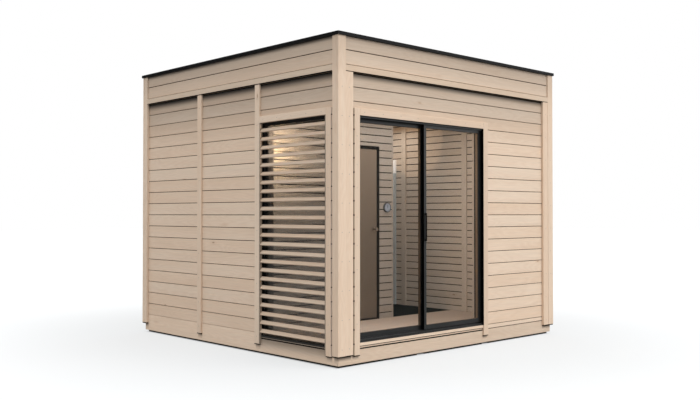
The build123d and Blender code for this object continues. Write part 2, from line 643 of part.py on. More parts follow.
save("front_wall_left", front_wall_piece(FRAME_FACE, DOOR_LEFT - FRAME_MEMBER, FLOOR_FRAME_TOP))
save("front_wall_right", front_wall_piece(DOOR_RIGHT + FRAME_MEMBER, WIDTH - FRAME_FACE, FLOOR_FRAME_TOP))
save("front_wall_over_door",
     front_wall_piece(DOOR_LEFT - FRAME_MEMBER, DOOR_RIGHT + FRAME_MEMBER, DOOR_HEAD + FRAME_MEMBER))
save("left_wall_front", left_wall_piece(LINING_BACK, LOUVRE_Y, FLOOR_FRAME_TOP))
save("left_wall_over_louvre", left_wall_piece(LOUVRE_Y, LOUVRE_END, LOUVRE_HEAD))
save("left_wall_rear", left_wall_piece(LOUVRE_END, DEPTH - LINING_BACK, FLOOR_FRAME_TOP))
save("right_wall", slab(WIDTH - LINING_BACK, WIDTH - FRAME_FACE, LINING_BACK, DEPTH - LINING_BACK,
                        FLOOR_FRAME_TOP, BOARDS_TOP))
save("back_wall", slab(FRAME_FACE, WIDTH - FRAME_FACE, DEPTH - LINING_BACK, DEPTH - FRAME_FACE,
                       FLOOR_FRAME_TOP, BOARDS_TOP))

save("front_cladding", front_cladding())
save("left_cladding", left_cladding())
save("right_cladding", right_cladding())
save("back_cladding", back_cladding())
save("wall_lining", *wall_lining())
save("corner_posts", *corner_posts())
save("wall_battens", *wall_battens())
save("inner_battens", *inner_battens())
save("drip_boards", *band(0, BOARDS_TOP, FASCIA_BASE))
save("fascia_boards", *band(FASCIA_FACE, FASCIA_BASE, CAP_BASE))

save("ceiling", ceiling())
save("roof_deck", roof_deck())
save("roof_membrane", roof_membrane())
save("roof_cap", roof_cap())

save("door_trims", door_trims())
save("door_sill", door_sill())
save("door_frame", door_frame())
save("fixed_leaf_frame", leaf_ring(*fixed_leaf()))
save("fixed_leaf_glass", leaf_glass(*fixed_leaf()))
save("sliding_leaf_frame", sliding_leaf_frame())
save("sliding_leaf_glass", leaf_glass(*sliding_leaf()))
save("sliding_leaf_handle", sliding_leaf_handle())

save("louvre_trims", louvre_trims())
save("louvre_rails", *louvre_rails())
save("louvre_slats", *louvre_slats())
save("louvre_window_frame", louvre_window_frame())
save("louvre_window_glass", louvre_window_glass())

save("partition_left", partition_piece(INNER_FACE, SAUNA_DOOR_X, FLOOR_TOP))
save("partition_right", partition_piece(SAUNA_DOOR_END, PARTITION_END_X, FLOOR_TOP))
save("partition_over_door", partition_piece(SAUNA_DOOR_X, SAUNA_DOOR_END, FLOOR_TOP + SAUNA_DOOR_HEAD))
save("sauna_return_wall", sauna_return_wall())
save("sauna_door_frame", sauna_door_frame())
save("sauna_door_leaf", sauna_door_leaf())
save("sauna_door_hinges", *sauna_door_hinges())
save("sauna_door_knob", *sauna_door_knob())
save("wall_dial", wall_dial())
save("shower_column", shower_column())
save("column_head", column_head())
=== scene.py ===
"""Looks of the outdoor sauna cabin. Sizes are millimetres from the near left corner at ground level, as in
the part's source: x to the right along the front, y from the front to the back, z up."""
import json
import math

import bmesh
import bpy
import numpy as np
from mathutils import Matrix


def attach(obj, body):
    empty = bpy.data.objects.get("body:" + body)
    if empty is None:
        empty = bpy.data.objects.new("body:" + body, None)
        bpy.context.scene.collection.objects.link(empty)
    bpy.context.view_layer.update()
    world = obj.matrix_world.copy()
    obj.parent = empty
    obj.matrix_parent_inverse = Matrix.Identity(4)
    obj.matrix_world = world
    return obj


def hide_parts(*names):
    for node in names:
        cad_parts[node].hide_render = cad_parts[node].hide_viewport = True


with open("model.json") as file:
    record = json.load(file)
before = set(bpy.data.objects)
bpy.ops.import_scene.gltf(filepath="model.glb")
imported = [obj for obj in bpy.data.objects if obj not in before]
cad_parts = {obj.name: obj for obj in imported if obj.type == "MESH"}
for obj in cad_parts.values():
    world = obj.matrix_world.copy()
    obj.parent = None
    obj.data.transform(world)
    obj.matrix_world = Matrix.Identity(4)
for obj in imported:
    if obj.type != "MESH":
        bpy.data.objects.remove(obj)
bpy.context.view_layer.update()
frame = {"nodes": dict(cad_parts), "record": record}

WIDTH, DEPTH = 3360.0, 3400.0
FIRST_BOARD, BOARD_PITCH, BOARD_ROWS, JOINT = 202.5, 129.0, 19, 6.0
BOARD_JOINTS = FIRST_BOARD + BOARD_PITCH * np.arange(17)
SKIRT_TOP, CLADDING_TOP, BOARDS_TOP, FASCIA_BASE = 154.0, 2641.5, 2653.5, 2715.5
FASCIA_JOINT, FASCIA_GAP, CAP_BASE, CAP_TOP = 2848.0, 3.5, 2970.0, 3000.0
BASE_LOW, BAY_TOP = 21.0, 147.5
CLADDING_FACE, FRAME_FACE, LINING_BACK, INNER_FACE = 28.0, 48.0, 150.0, 165.0
TRIM_FACE, FASCIA_FACE, SEAL_BACK = 8.0, 14.0, 27.5
CORNER_WIDE, CORNER_REACH, CORNER_REACH_BACK = 94.0, 81.0, 92.0
CORNER_INNER, CORNER_INNER_FACE, CORNER_FOOT = 187.0, 3.0, 108.0
FLOOR_FRAME_TOP, FLOOR_TOP, CEILING_BASE = 145.0, 165.0, 2560.0
DOOR_LEFT, DOOR_RIGHT, DOOR_SILL, DOOR_HEAD = 276.0, 2084.0, 207.0, 2270.0
DOOR_HOLE, DOOR_FRAME_BACK = 30.0, 138.0
TRIM, HEADER, TRIM_BOTTOM, DOOR_TRIM_BOTTOM = 74.0, 65.0, 98.0, 99.0
MEETING_X, MEETING_STILE, LEAF_STILE, LEAF_THICK = 1188.0, 34.0, 43.0, 36.0
OUTER_TRACK, INNER_TRACK = 47.0, 92.0
LOUVRE_Y, LOUVRE_END, LOUVRE_HEAD, LOUVRE_TRIM = 179.0, 1162.0, 2270.0, 70.0
LOUVRE_BACK, WINDOW_BACK, WINDOW_MEMBER = 50.0, 98.0, 32.0
SLAT_COUNT, SLAT_PITCH, TOP_SLAT, SLAT_TILT, SLAT_HALVES = 24, 85.6, 2195.0, 50.0, (20.0, 486.3, 7.5)
BATTEN, SIDE_BATTENS = 75.0, (LOUVRE_END, LOUVRE_END + 1026.0)
BACK_BATTENS, INNER_BATTENS = (1083.0, 2202.0), (1125.0, 2150.0)
PARTITION_Y, PARTITION_BACK, PARTITION_END, PARTITION_BOARD = 1397.0, 1467.0, 2157.0, 14.0
SAUNA_LEFT, SAUNA_RIGHT, SAUNA_HEAD = 1155.0, 1915.0, 2153.0
LINING_ROWS, LINING_JOINT, LINING_DROP, CEILING_ROWS = 28, 10.0, 17.0, 36
SKY_LIGHT = 1.12
FINISHES = {}


# Camera and lamps.

def sight(name, place, yaw, pitch, lens):
    """The camera: it stands at a place and looks yaw degrees from +Y towards +X, pitch degrees up."""
    camera = bpy.data.objects.new(name, bpy.data.cameras.new(name))
    camera.data.lens = lens
    camera.data.sensor_width = 36.0
    camera.data.clip_end = 500.0
    camera.location = place
    camera.rotation_euler = (math.radians(90 + pitch), 0, math.radians(-yaw))
    bpy.context.scene.collection.objects.link(camera)
    bpy.context.scene.camera = camera


def lamp(name, kind, place, target, strength, colour, **settings):
    """A light at a place that shines towards a target."""
    data = bpy.data.lights.new(name, kind)
    data.energy = strength
    data.color = colour
    for key, value in settings.items():
        setattr(data, key, value)
    light = bpy.data.objects.new(name, data)
    light.location = place
    light.visible_camera = False
    light.visible_glossy = kind == "SUN"
    aim = np.array(target, float) - np.array(place, float)
    yaw = math.atan2(aim[1], aim[0]) if abs(aim[0]) + abs(aim[1]) > 1e-6 else math.pi / 2
    light.rotation_euler = (math.acos(-aim[2] / np.linalg.norm(aim)), 0, yaw - math.pi / 2)
    bpy.context.scene.collection.objects.link(light)


# Shader expressions.

class Field:
    """A value that changes over a surface. Sums, products and powers of it add Math nodes."""

    def __init__(self, finish, socket):
        self.finish, self.socket = finish, socket

    def math(self, operation, *others):
        values = dict(enumerate((self, *others)))
        return self.finish.node("ShaderNodeMath", {"operation": operation}, values)

    def __add__(self, other):
        return self.math("ADD", other)

    def __sub__(self, other):
        return self.math("SUBTRACT", other)

    def __mul__(self, other):
        return self.math("MULTIPLY", other)

    def __pow__(self, other):
        return self.math("POWER", other)

    def __rsub__(self, other):
        return self.finish.node("ShaderNodeMath", {"operation": "SUBTRACT"}, {0: other, 1: self})

    __radd__ = __add__
    __rmul__ = __mul__

    def scaled(self, x, y, z):
        """A place stretched by its own factor on each axis."""
        return self.finish.node("ShaderNodeVectorMath", {"operation": "MULTIPLY"}, {0: self, 1: (x, y, z)})

    def part(self, axis):
        return self.finish.node("ShaderNodeSeparateXYZ", {}, {0: self}, axis)


class Finish:
    """The nodes of a material, or of the sky, whose patterns are written as expressions."""

    def __init__(self, name, owner=None):
        self.name, self.material = name, owner or bpy.data.materials.new(name)
        self.material.use_nodes = True
        self.tree = self.material.node_tree
        self.tree.nodes.clear()

    def node(self, kind, settings, inputs, out=0):
        """One node of any type: its settings first, then the values or links of its sockets."""
        made = self.tree.nodes.new(kind)
        for key, value in settings.items():
            setattr(made, key, value)
        for key, value in inputs.items():
            if isinstance(value, Field):
                self.tree.links.new(value.socket, made.inputs[key])
            else:
                made.inputs[key].default_value = value
        return Field(self, made.outputs[out])

    def noise(self, place, scale, detail, roughness, distortion=0.0):
        return self.node("ShaderNodeTexNoise", {}, {"Vector": place, "Scale": scale, "Detail": detail,
                                                    "Roughness": roughness, "Distortion": distortion})

    def cells(self, place, scale, out="Distance"):
        return self.node("ShaderNodeTexVoronoi", {}, {"Vector": place, "Scale": scale}, out)

    def step(self, value, low, high):
        """0 below low, 1 above high, and a smooth rise between them."""
        return self.node("ShaderNodeMapRange", {"interpolation_type": "SMOOTHSTEP"},
                         {"Value": value, "From Min": low, "From Max": high})

    def mix(self, factor, first, second, way="MIX"):
        """A mix of two colours, by a factor."""
        first, second = [c if isinstance(c, Field) else (*c, 1) for c in (first, second)]
        return self.node("ShaderNodeMix", {"data_type": "RGBA", "blend_type": way},
                         {0: factor, 6: first, 7: second}, 2)

    def dim(self, colour, value):
        """A colour times a value."""
        grey = self.node("ShaderNodeCombineColor", {}, {0: value, 1: value, 2: value})
        return self.mix(1.0, colour, grey, "MULTIPLY")

    def attribute(self, name, out="Vector"):
        return self.node("ShaderNodeAttribute", {"attribute_name": name}, {}, out)

    def place(self):
        return self.node("ShaderNodeTexCoord", {}, {}, "Object")

    def bump(self, height, strength, distance):
        return self.node("ShaderNodeBump", {}, {"Height": height, "Strength": strength, "Distance": distance})

    def surface(self, **inputs):
        """Closes the material and keeps it in FINISHES. The shader's sockets are given by name, with spaces
        written as underscores."""
        values = {key.replace("_", " "): (*value, 1) if isinstance(value, tuple) else value
                  for key, value in inputs.items()}
        FINISHES[self.name] = self.node_out(self.node("ShaderNodeBsdfPrincipled", {}, values))

    def node_out(self, shader, kind="ShaderNodeOutputMaterial"):
        last = self.tree.nodes.new(kind)
        self.tree.links.new(shader.socket, last.inputs["Surface"])
        return self.material


# Finishes.

def wood(name, pale, warm, knot, rough=0.62, streaks=1.5, painted_shades=()):
    """Planed spruce along the board's own grain: broad drift, growth rings, fibre, and a few small knots.
    Each painted shade is (edge, reach, amount): painted shade, standing for the shadow under an overhanging
    edge, darkens the board by the amount at the edge, and less and less down to the reach below it."""
    f = Finish(name)
    grain = f.attribute("grain")
    tone = f.attribute("tone", "Fac")
    drift = f.noise(grain.scaled(0.7, 9.0, 9.0), 1.0, 3.0, 0.55)
    bend = f.noise(grain.scaled(0.55, 4.2, 4.2), 1.0, 2.0, 0.5)
    rings = f.noise(grain.scaled(0.9, 64.0, 64.0), 1.0, 2.0, 0.6, 0.4)
    lines = (bend * 26.0 + grain.part(1) * 22.0).math("PINGPONG", 0.5) * 2.0
    fibre = f.noise(grain.scaled(7.0, 330.0, 330.0), 1.0, 2.0, 0.6)
    knots = grain.scaled(2.6, 7.6, 7.6)
    spots = f.cells(knots, 1.0)
    chosen = f.step(f.cells(knots, 1.0, "Color").part(0), 0.80, 0.83)
    heart = (1.0 - f.step(spots, 0.03, 0.085)) * chosen
    halo = (1.0 - f.step(spots, 0.05, 0.22)) * chosen
    warmth = drift * 0.9 + lines * 0.16 * streaks + rings * 0.35 * streaks + tone * 0.5 - 0.55 + halo * 0.5
    base = f.mix(f.step(warmth, 0.0, 1.0), pale, warm)
    level = 0.955 + tone * 0.05 + (fibre - 0.5) * 0.16 * streaks + (rings - 0.5) * 0.13 * streaks
    # Painted shade: each edge darkens the board below it, most at the edge.
    for edge, reach, amount in painted_shades:
        level = level * (1.0 - f.step(f.place().part(2), (edge - reach) / 1000, edge / 1000) * amount)
    relief = fibre * 0.6 + rings * 0.5 + lines * 0.15 - heart * 0.6
    f.surface(Base_Color=f.mix(heart * 0.75, f.dim(base, level), knot), Roughness=rough + (fibre - 0.5) * 0.2,
              Normal=f.bump(relief, 0.35, 0.0012), Specular_IOR_Level=0.32)


def sawn(name, pale, dark):
    """Rough framing timber, read on object coordinates."""
    f = Finish(name)
    here = f.place()
    band = f.noise(here.scaled(3.0, 3.0, 40.0), 1.0, 4.0, 0.6)
    saw = f.noise(here.scaled(160.0, 160.0, 9.0), 1.0, 2.0, 0.5)
    f.surface(Base_Color=f.mix(band * 0.7 + saw * 0.3, dark, pale), Roughness=0.8,
              Normal=f.bump(band * 0.5 + saw * 0.5, 0.4, 0.002))


def coated(name, colour, edge, rough, gloss):
    """Powder-coated metal: a fine orange-peel skin and slow changes of tone and gloss."""
    f = Finish(name)
    here = f.place()
    peel = f.noise(here, 900.0, 2.0, 0.5)
    cloud = f.noise(here, 4.0, 3.0, 0.5)
    dust = f.noise(here.scaled(9.0, 9.0, 2.0), 3.0, 4.0, 0.6)
    tint = f.mix(f.step(cloud * 0.6 + dust * 0.4, 0.35, 0.7), colour, edge)
    f.surface(Base_Color=tint, Roughness=rough + (cloud - 0.5) * 0.14 + (dust - 0.5) * 0.1,
              Normal=f.bump(peel, 0.12, 0.0004), Specular_IOR_Level=gloss)


def rubbery(name, colour, pale, rough, gloss=0.3):
    """Dull black plastic or rubber with a pitted skin and a little dust."""
    f = Finish(name)
    here = f.place()
    pits = f.noise(here, 420.0, 3.0, 0.6)
    dust = f.noise(here, 11.0, 4.0, 0.6)
    f.surface(Base_Color=f.mix(f.step(dust, 0.5, 0.85) * 0.6, colour, pale),
              Roughness=rough + (pits - 0.5) * 0.2, Normal=f.bump(pits, 0.3, 0.0006),
              Specular_IOR_Level=gloss)


def roofing(name):
    """Mineral roofing sheet: dark chips, a mottled tone and faint rain marks."""
    f = Finish(name)
    here = f.place()
    chips = f.cells(here, 420.0, "Color").part(0)
    patch = f.noise(here, 2.2, 5.0, 0.6)
    marks = f.noise(here.scaled(1.2, 9.0, 1.0), 1.0, 3.0, 0.5)
    tone = f.mix(chips, (0.030, 0.031, 0.034), (0.105, 0.106, 0.112))
    colour = f.mix(f.step(patch, 0.42, 0.75) * 0.45, tone, (0.11, 0.112, 0.115))
    f.surface(Base_Color=f.dim(colour, 0.9 + marks * 0.25), Roughness=0.86,
              Normal=f.bump(chips, 0.35, 0.0008))


def dark_floor_sheet(name):
    """The dark floor of the wet space: a fine speckle with a faint cloud."""
    f = Finish(name)
    here = f.place()
    speck = f.cells(here, 520.0, "Color").part(0)
    cloud = f.noise(here, 5.0, 4.0, 0.55)
    colour = f.mix(f.step(speck, 0.55, 1.0) * 0.5, (0.009, 0.013, 0.014), (0.021, 0.028, 0.029))
    f.surface(Base_Color=f.dim(colour, 0.85 + cloud * 0.4), Roughness=0.8 + cloud * 0.1,
              Normal=f.bump(speck, 0.15, 0.0004), Specular_IOR_Level=0.12)


def glazing(name, colour, clear, mirror, rough):
    """Glass that light passes straight through: it turns more opaque where it is seen at a slant."""
    f = Finish(name)
    here = f.place()
    slant = f.node("ShaderNodeLayerWeight", {}, {"Blend": 0.5}, "Facing") ** 5
    wipe = f.noise(here.scaled(2.0, 2.0, 5.0), 2.0, 4.0, 0.6)
    f.surface(Base_Color=colour, Alpha=clear + slant * mirror + f.step(wipe, 0.5, 0.9) * 0.004,
              Roughness=rough + f.step(wipe, 0.5, 0.9) * 0.015, IOR=1.5)


def tinted(name):
    """The sauna door's tinted glass: a deep brown, with painted light making it a little lighter towards its
    top.
    """
    f = Finish(name)
    here = f.place()
    painted_light_rise = f.step(here.part(2), 0.15, 2.3)
    cloud = f.noise(here, 1.4, 2.0, 0.5)
    colour = f.mix(painted_light_rise * 0.85 + cloud * 0.15, (0.138, 0.106, 0.080), (0.225, 0.176, 0.134))
    f.surface(Base_Color=colour, Alpha=0.96 + cloud * 0.02, Roughness=0.40 + cloud * 0.08, IOR=1.45)


def brushed(name, colour, rough, stretch, metallic=1.0):
    """Brushed metal, its fine lines drawn out along one way. A lower metallic is a lacquered metal."""
    f = Finish(name)
    here = f.place()
    lines = f.noise(here.scaled(*stretch), 1.0, 3.0, 0.6)
    cloud = f.noise(here, 30.0, 2.0, 0.5)
    f.surface(Base_Color=f.dim(colour, 0.86 + lines * 0.28), Metallic=metallic,
              Roughness=rough + (lines - 0.5) * 0.15 + (cloud - 0.5) * 0.08,
              Normal=f.bump(lines, 0.12, 0.0003))


def moulded(name, colour, shade, rough, glow=0.0):
    """Moulded plastic: a close satin grain and a barely uneven tone. Glow is the light it gives off."""
    f = Finish(name)
    here = f.place()
    close = f.noise(here, 700.0, 2.0, 0.5)
    cloud = f.noise(here, 24.0, 2.0, 0.5)
    f.surface(Base_Color=f.mix(cloud, colour, shade), Roughness=rough + (close - 0.5) * 0.1,
              Normal=f.bump(close, 0.08, 0.0003), Emission_Color=colour, Emission_Strength=glow)


def toned(colours, share):
    """The same colours, each times a share."""
    return tuple(tuple(part * share for part in colour) for colour in colours)


SPRUCE = ((0.838, 0.674, 0.528), (0.751, 0.565, 0.418), (0.36, 0.215, 0.13))
INNER = ((0.680, 0.600, 0.520), (0.590, 0.500, 0.415), (0.26, 0.17, 0.115))


def finishes():
    """Makes every finish. The boards outside share the spruce's colours, times a share, and have their own
    painted shades. A share below 1 makes a darker copy of the spruce, painted shade, and one above 1 a
    lighter copy, painted light. The boards inside have a share and their own streaks."""
    for name, share, painted_shades in (
            ("spruce", 1.0, ()),
            # Painted shade: the walls' boards, the corner boards and the fascia darken towards the drip
            # course and the cap, the sides' more deeply than the front's and back's.
            ("front_spruce", 1.0, ((CLADDING_TOP, 60, 0.75), (CLADDING_TOP, 600, 0.30))),
            ("side_spruce", 1.0, ((CLADDING_TOP, 85, 0.93), (CLADDING_TOP, 600, 0.34))),
            ("post_spruce", 1.0, ((CAP_BASE, 450, 0.18),)),
            # The fascia's share makes it a darker copy as a whole: painted shade under the cap.
            ("fascia_spruce", 0.88, ((CAP_BASE, 300, 0.27),)),
            ("side_fascia_spruce", 0.885, ((CAP_BASE, 45, 0.80), (CAP_BASE, 300, 0.24))),
            # Painted shade and light: the front, back and right skirt is a darker copy of the spruce, the
            # left skirt a lighter one.
            ("base_spruce", 0.86, ()),
            ("side_base_spruce", 1.07, ()),
            # Painted shade: the skirt under the louvre darkens towards its top, and the skin under the posts,
            # trims and battens darkens below them.
            ("bay_spruce", 1.0, ((BAY_TOP, 110, 0.57),)),
            ("skirt_shadow_spruce", 0.92, ((TRIM_BOTTOM, 45, 0.60),)),
            # Painted shade: the door's trims, the louvre's slats and its rails are darker copies of the
            # spruce.
            ("trim_spruce", 0.93, ()),
            ("slat_spruce", 0.83, ()),
            ("rail_spruce", 0.42, ())):
        wood(name, *toned(SPRUCE, share), painted_shades=painted_shades)
    # Painted shade: the partition's boards and the window's reveal boards are darker copies of the inner
    # spruce.
    for name, share, streaks in (("inner_spruce", 1.0, 1.5), ("partition_spruce", 0.59, 0.9),
                                 ("reveal_spruce", 0.20, 1.5)):
        wood(name, *toned(INNER, share), 0.6, streaks)
    # Painted light: a paler, greyer copy of the spruce for the trim's edge in the corner's slot.
    wood("slot_spruce", (0.74, 0.68, 0.62), (0.68, 0.61, 0.54), (0.36, 0.26, 0.18))
    # Painted shade: the drip course is a darker copy of the spruce.
    wood("drip_spruce", (0.72, 0.585, 0.455), (0.645, 0.49, 0.36), (0.32, 0.19, 0.115))
    # Painted light and shade: the sliding leaf's timber is a lighter copy and the fixed leaf's a darker copy
    # of one brown timber.
    wood("sliding_door_timber", (0.30, 0.208, 0.146), (0.235, 0.157, 0.104), (0.12, 0.07, 0.05), 0.45)
    wood("fixed_door_timber", (0.11, 0.077, 0.054), (0.087, 0.058, 0.038), (0.05, 0.03, 0.02), 0.45)
    wood("floor_planks", (0.530, 0.436, 0.373), (0.465, 0.375, 0.310), (0.25, 0.150, 0.10), 0.55, 0.8)
    sawn("framing", (0.40, 0.29, 0.19), (0.26, 0.18, 0.11))
    rubbery("wind_sheet", (0.010, 0.009, 0.008), (0.022, 0.020, 0.018), 0.85)
    # Painted shadow: a flat black with almost no gloss, for strips set where shade falls.
    rubbery("painted_shadow_black", (0.0015, 0.0015, 0.0015), (0.003, 0.003, 0.003), 0.92, 0.04)
    # Painted shadow: a dull mid-brown for the shaded slot beside the door's left trim.
    rubbery("slot_shadow_brown", (0.40, 0.318, 0.238), (0.44, 0.352, 0.264), 0.85, 0.1)
    # Painted shadow: a dull dark grey for the shaded band on the louvre's sill.
    rubbery("sill_shadow_grey", (0.036, 0.034, 0.031), (0.044, 0.041, 0.038), 0.85, 0.1)
    rubbery("black_packer", (0.010, 0.010, 0.010), (0.035, 0.034, 0.032), 0.75)
    roofing("roof_sheet")
    coated("roof_edge", (0.011, 0.011, 0.0112), (0.014, 0.014, 0.0145), 0.45, 0.08)
    coated("anthracite", (0.0060, 0.0065, 0.0065), (0.010, 0.011, 0.011), 0.34, 0.62)
    coated("black_metal", (0.0025, 0.0025, 0.0025), (0.005, 0.005, 0.005), 0.4, 0.4)
    coated("pull_black", (0.0012, 0.0012, 0.0012), (0.0025, 0.0025, 0.0025), 0.6, 0.08)
    glazing("clear_glass", (0.06, 0.07, 0.07), 0.018, 0.35, 0.03)
    glazing("grey_glass", (0.010, 0.011, 0.011), 0.48, 0.3, 0.05)
    tinted("bronze_glass")
    brushed("knob_metal", (0.56, 0.53, 0.50), 0.2, (60, 900, 60))
    brushed("screw_steel", (0.30, 0.29, 0.28), 0.35, (300, 300, 300))
    brushed("column_metal", (0.72, 0.80, 0.83), 0.42, (700, 700, 12), 0.3)
    moulded("dial_face", (0.36, 0.40, 0.47), (0.31, 0.35, 0.41), 0.35)
    moulded("dial_mark", (0.05, 0.055, 0.06), (0.08, 0.085, 0.09), 0.4)
    # Painted light: the column head's white plastic glows a little (0.28), though it is no lamp.
    moulded("white_plastic", (0.86, 0.84, 0.81), (0.80, 0.78, 0.75), 0.3, 0.28)
    dark_floor_sheet("dark_floor")


# Pieces.

def shown(name, mesh, slot, replaced, body, finish):
    """Puts a mesh in the scene as a piece, with its finish, its body and the CAD nodes it stands for."""
    made = bpy.data.objects.new(name, mesh)
    bpy.context.scene.collection.objects.link(made)
    mesh.materials.append(FINISHES[finish or slot])
    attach(made, body)
    if replaced:
        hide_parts(*replaced)
    return made


def piece(name, points, faces, slot, replaced=(), body="root", finish=None, marks=None):
    """A piece of points (millimetres from the near left corner) and faces. Marks are attributes by name."""
    mesh = bpy.data.meshes.new(name)
    moved = (np.asarray(points, float) - (WIDTH / 2, DEPTH / 2, 0)) / 1000.0
    mesh.from_pydata(moved.tolist(), [], faces)
    for key, values in (marks or {}).items():
        vector = values.ndim == 2
        layer = mesh.attributes.new(key, "FLOAT_VECTOR" if vector else "FLOAT", "POINT")
        layer.data.foreach_set("vector" if vector else "value", values.astype(np.float32).ravel())
    return shown(name, mesh, slot, replaced, body, finish)


CORNERS = np.repeat(np.array([(1, 1), (-1, 1), (-1, -1), (1, -1)]), 3, axis=0)
ANGLES = np.radians(np.arange(4)[:, None] * 90 + np.array([0, 45, 90])).ravel()
ENDS = np.array([-1, -1, 1, 1])


class Stack:
    """Eased blocks, such as boards, gathered into one piece."""

    def __init__(self, seed):
        self.chance = np.random.default_rng(seed)
        self.points, self.faces, self.grain, self.tone = [], [], [], []
        self.count = 0

    def add(self, blocks, along, ease, lots=None, square=False, turn=None):
        """Blocks as rows of (x0, x1, y0, y1, z0, z1). The outline is a rectangle whose corners are arcs, a
        corner's centre plus ease times the angle's cosine and sine, and it is carried along the long axis
        in four stations; the outer two are drawn in, so the ends are eased too. Blocks of one lot share
        their grain. turn is a rotation about each block's own middle."""
        blocks = np.atleast_2d(np.asarray(blocks, float))
        low, high = blocks[:, 0::2], blocks[:, 1::2]
        count = len(low)
        axes = [along, (along + 1) % 3, (along + 2) % 3]
        middle = ((low + high) / 2)[:, axes]
        half = ((high - low) / 2)[:, axes]
        drawn = np.zeros(4) if square else np.array([0.7, 0, 0, 0.7]) * ease
        back = np.zeros(4) if square else np.array([0, 1, 1, 0]) * ease
        local = np.empty((count, 4, 12, 3))
        local[..., 0] = (ENDS * (half[:, :1] - back))[:, :, None]
        radius = (ease - drawn)[None, :, None]
        local[..., 1] = CORNERS[:, 0] * (half[:, 1] - ease)[:, None, None] + radius * np.cos(ANGLES)
        local[..., 2] = CORNERS[:, 1] * (half[:, 2] - ease)[:, None, None] + radius * np.sin(ANGLES)
        lots = np.arange(count) if lots is None else np.asarray(lots)
        offsets = self.chance.uniform(-40, 40, (lots.max() + 1, 3))[lots]
        tones = self.chance.uniform(0, 1, lots.max() + 1)[lots]
        flat = local + middle[:, None, None, :]
        grain = flat / 1000.0 + offsets[:, None, None, :]
        world = np.empty_like(flat)
        world[..., axes] = flat
        if turn is not None:
            centre = ((low + high) / 2)[:, None, None, :]
            world = (world - centre) @ np.asarray(turn).T + centre
        index = self.count + np.arange(count * 48).reshape(count, 4, 12)
        after = np.roll(index, -1, axis=2)
        sides = np.stack([index[:, :-1], after[:, :-1], after[:, 1:], index[:, 1:]], -1)
        self.faces += sides.reshape(-1, 4).tolist() + index[:, 0, ::-1].tolist() + index[:, 3].tolist()
        self.points.append(world.reshape(-1, 3))
        self.grain.append(grain.reshape(-1, 3))
        self.tone.append(np.repeat(tones, 48))
        self.count += count * 48
        return self

    def courses(self, plan, edges, along, ease, lots=None, square=False):
        """Blocks that share a plan, (x0, x1, y0, y1), each between its own low and high edge."""
        return self.add([(*plan, *edge) for edge in edges], along, ease, lots, square)

    def cut(self, plan, edges, hole, along, ease):
        """Courses of a wall with a rectangular hole. A course that the hole crosses is split beside it, and
        one that the hole's edge runs through keeps its grain across the pieces."""
        x0, x1, y0, y1 = plan
        a0, a1, b0, b1 = hole
        s0, s1 = (x0, x1) if along == 0 else (y0, y1)
        blocks, lots = [], []
        for row, (w0, w1) in enumerate(edges):
            runs = [(s0, s1, w0, w1)]
            if b0 < w1 and w0 < b1:
                runs = [(p, q, w0, w1) for p, q in ((s0, a0), (a1, s1)) if q - p > 1]
                runs += [(a0, a1, p, q) for p, q in ((w0, b0), (b1, w1)) if q - p > 4]
            blocks += [(p, q, y0, y1, *z) if along == 0 else (x0, x1, p, q, *z) for p, q, *z in runs]
            lots += [row] * len(runs)
        return self.add(blocks, along, ease, lots, True)

    def fronts(self, x0, x1, face, back, z0, z1, ease):
        """A board along the front, and one like it along the back."""
        return self.add([(x0, x1, face, back, z0, z1), (x0, x1, DEPTH - back, DEPTH - face, z0, z1)], 0, ease)

    def flanks(self, y0, y1, face, back, z0, z1, ease):
        """A board along the left side, and one like it along the right side."""
        return self.add([(face, back, y0, y1, z0, z1), (WIDTH - back, WIDTH - face, y0, y1, z0, z1)], 1, ease)

    def piece(self, name, slot, replaced=(), body="root", finish=None):
        marks = {"grain": np.concatenate(self.grain), "tone": np.concatenate(self.tone)}
        return piece(name, np.concatenate(self.points), self.faces, slot, replaced, body, finish, marks)

    def surround(self, side, outer, inner, near, far, ease):
        """Four boards round an opening: uprights of the full height and rails between them. Outer and inner
        are (low, high, bottom, top) in the front's plane, side 0, or in the left side's, side 1."""
        a0, a1, b0, b1 = outer
        c0, c1, d0, d1 = inner
        uprights = [(a0, c0, b0, b1), (c1, a1, b0, b1)]
        rails = [(c0, c1, b0, d0), (c0, c1, d1, b1)]
        for boards, along in ((uprights, 2), (rails if d0 > b0 else rails[1:], side)):
            self.add([(a, b, near, far, *z) if side == 0 else (near, far, a, b, *z) for a, b, *z in boards],
                     along, ease)
        return self


def eased(name, node, slot, width, body="root", finish=None):
    """A CAD node's own shape with its edges eased by a small bevel. It stands for that node. Its grain
    runs upwards."""
    shape = bmesh.new()
    shape.from_mesh(frame["nodes"][node].data)
    bmesh.ops.remove_doubles(shape, verts=shape.verts, dist=1e-5)
    bmesh.ops.dissolve_limit(shape, angle_limit=math.radians(1), verts=shape.verts, edges=shape.edges)
    mesh = bpy.data.meshes.new(name)
    shape.to_mesh(mesh)
    shape.free()
    spots = np.empty(len(mesh.vertices) * 3)
    mesh.vertices.foreach_get("co", spots)
    grain = mesh.attributes.new("grain", "FLOAT_VECTOR", "POINT")
    grain.data.foreach_set("vector", spots.reshape(-1, 3)[:, ::-1].ravel())
    bevel = shown(name, mesh, slot, (node,), body, finish).modifiers.new("eased", "BEVEL")
    bevel.width, bevel.segments = width / 1000.0, 2
    bevel.limit_method, bevel.angle_limit = "ANGLE", math.radians(40)


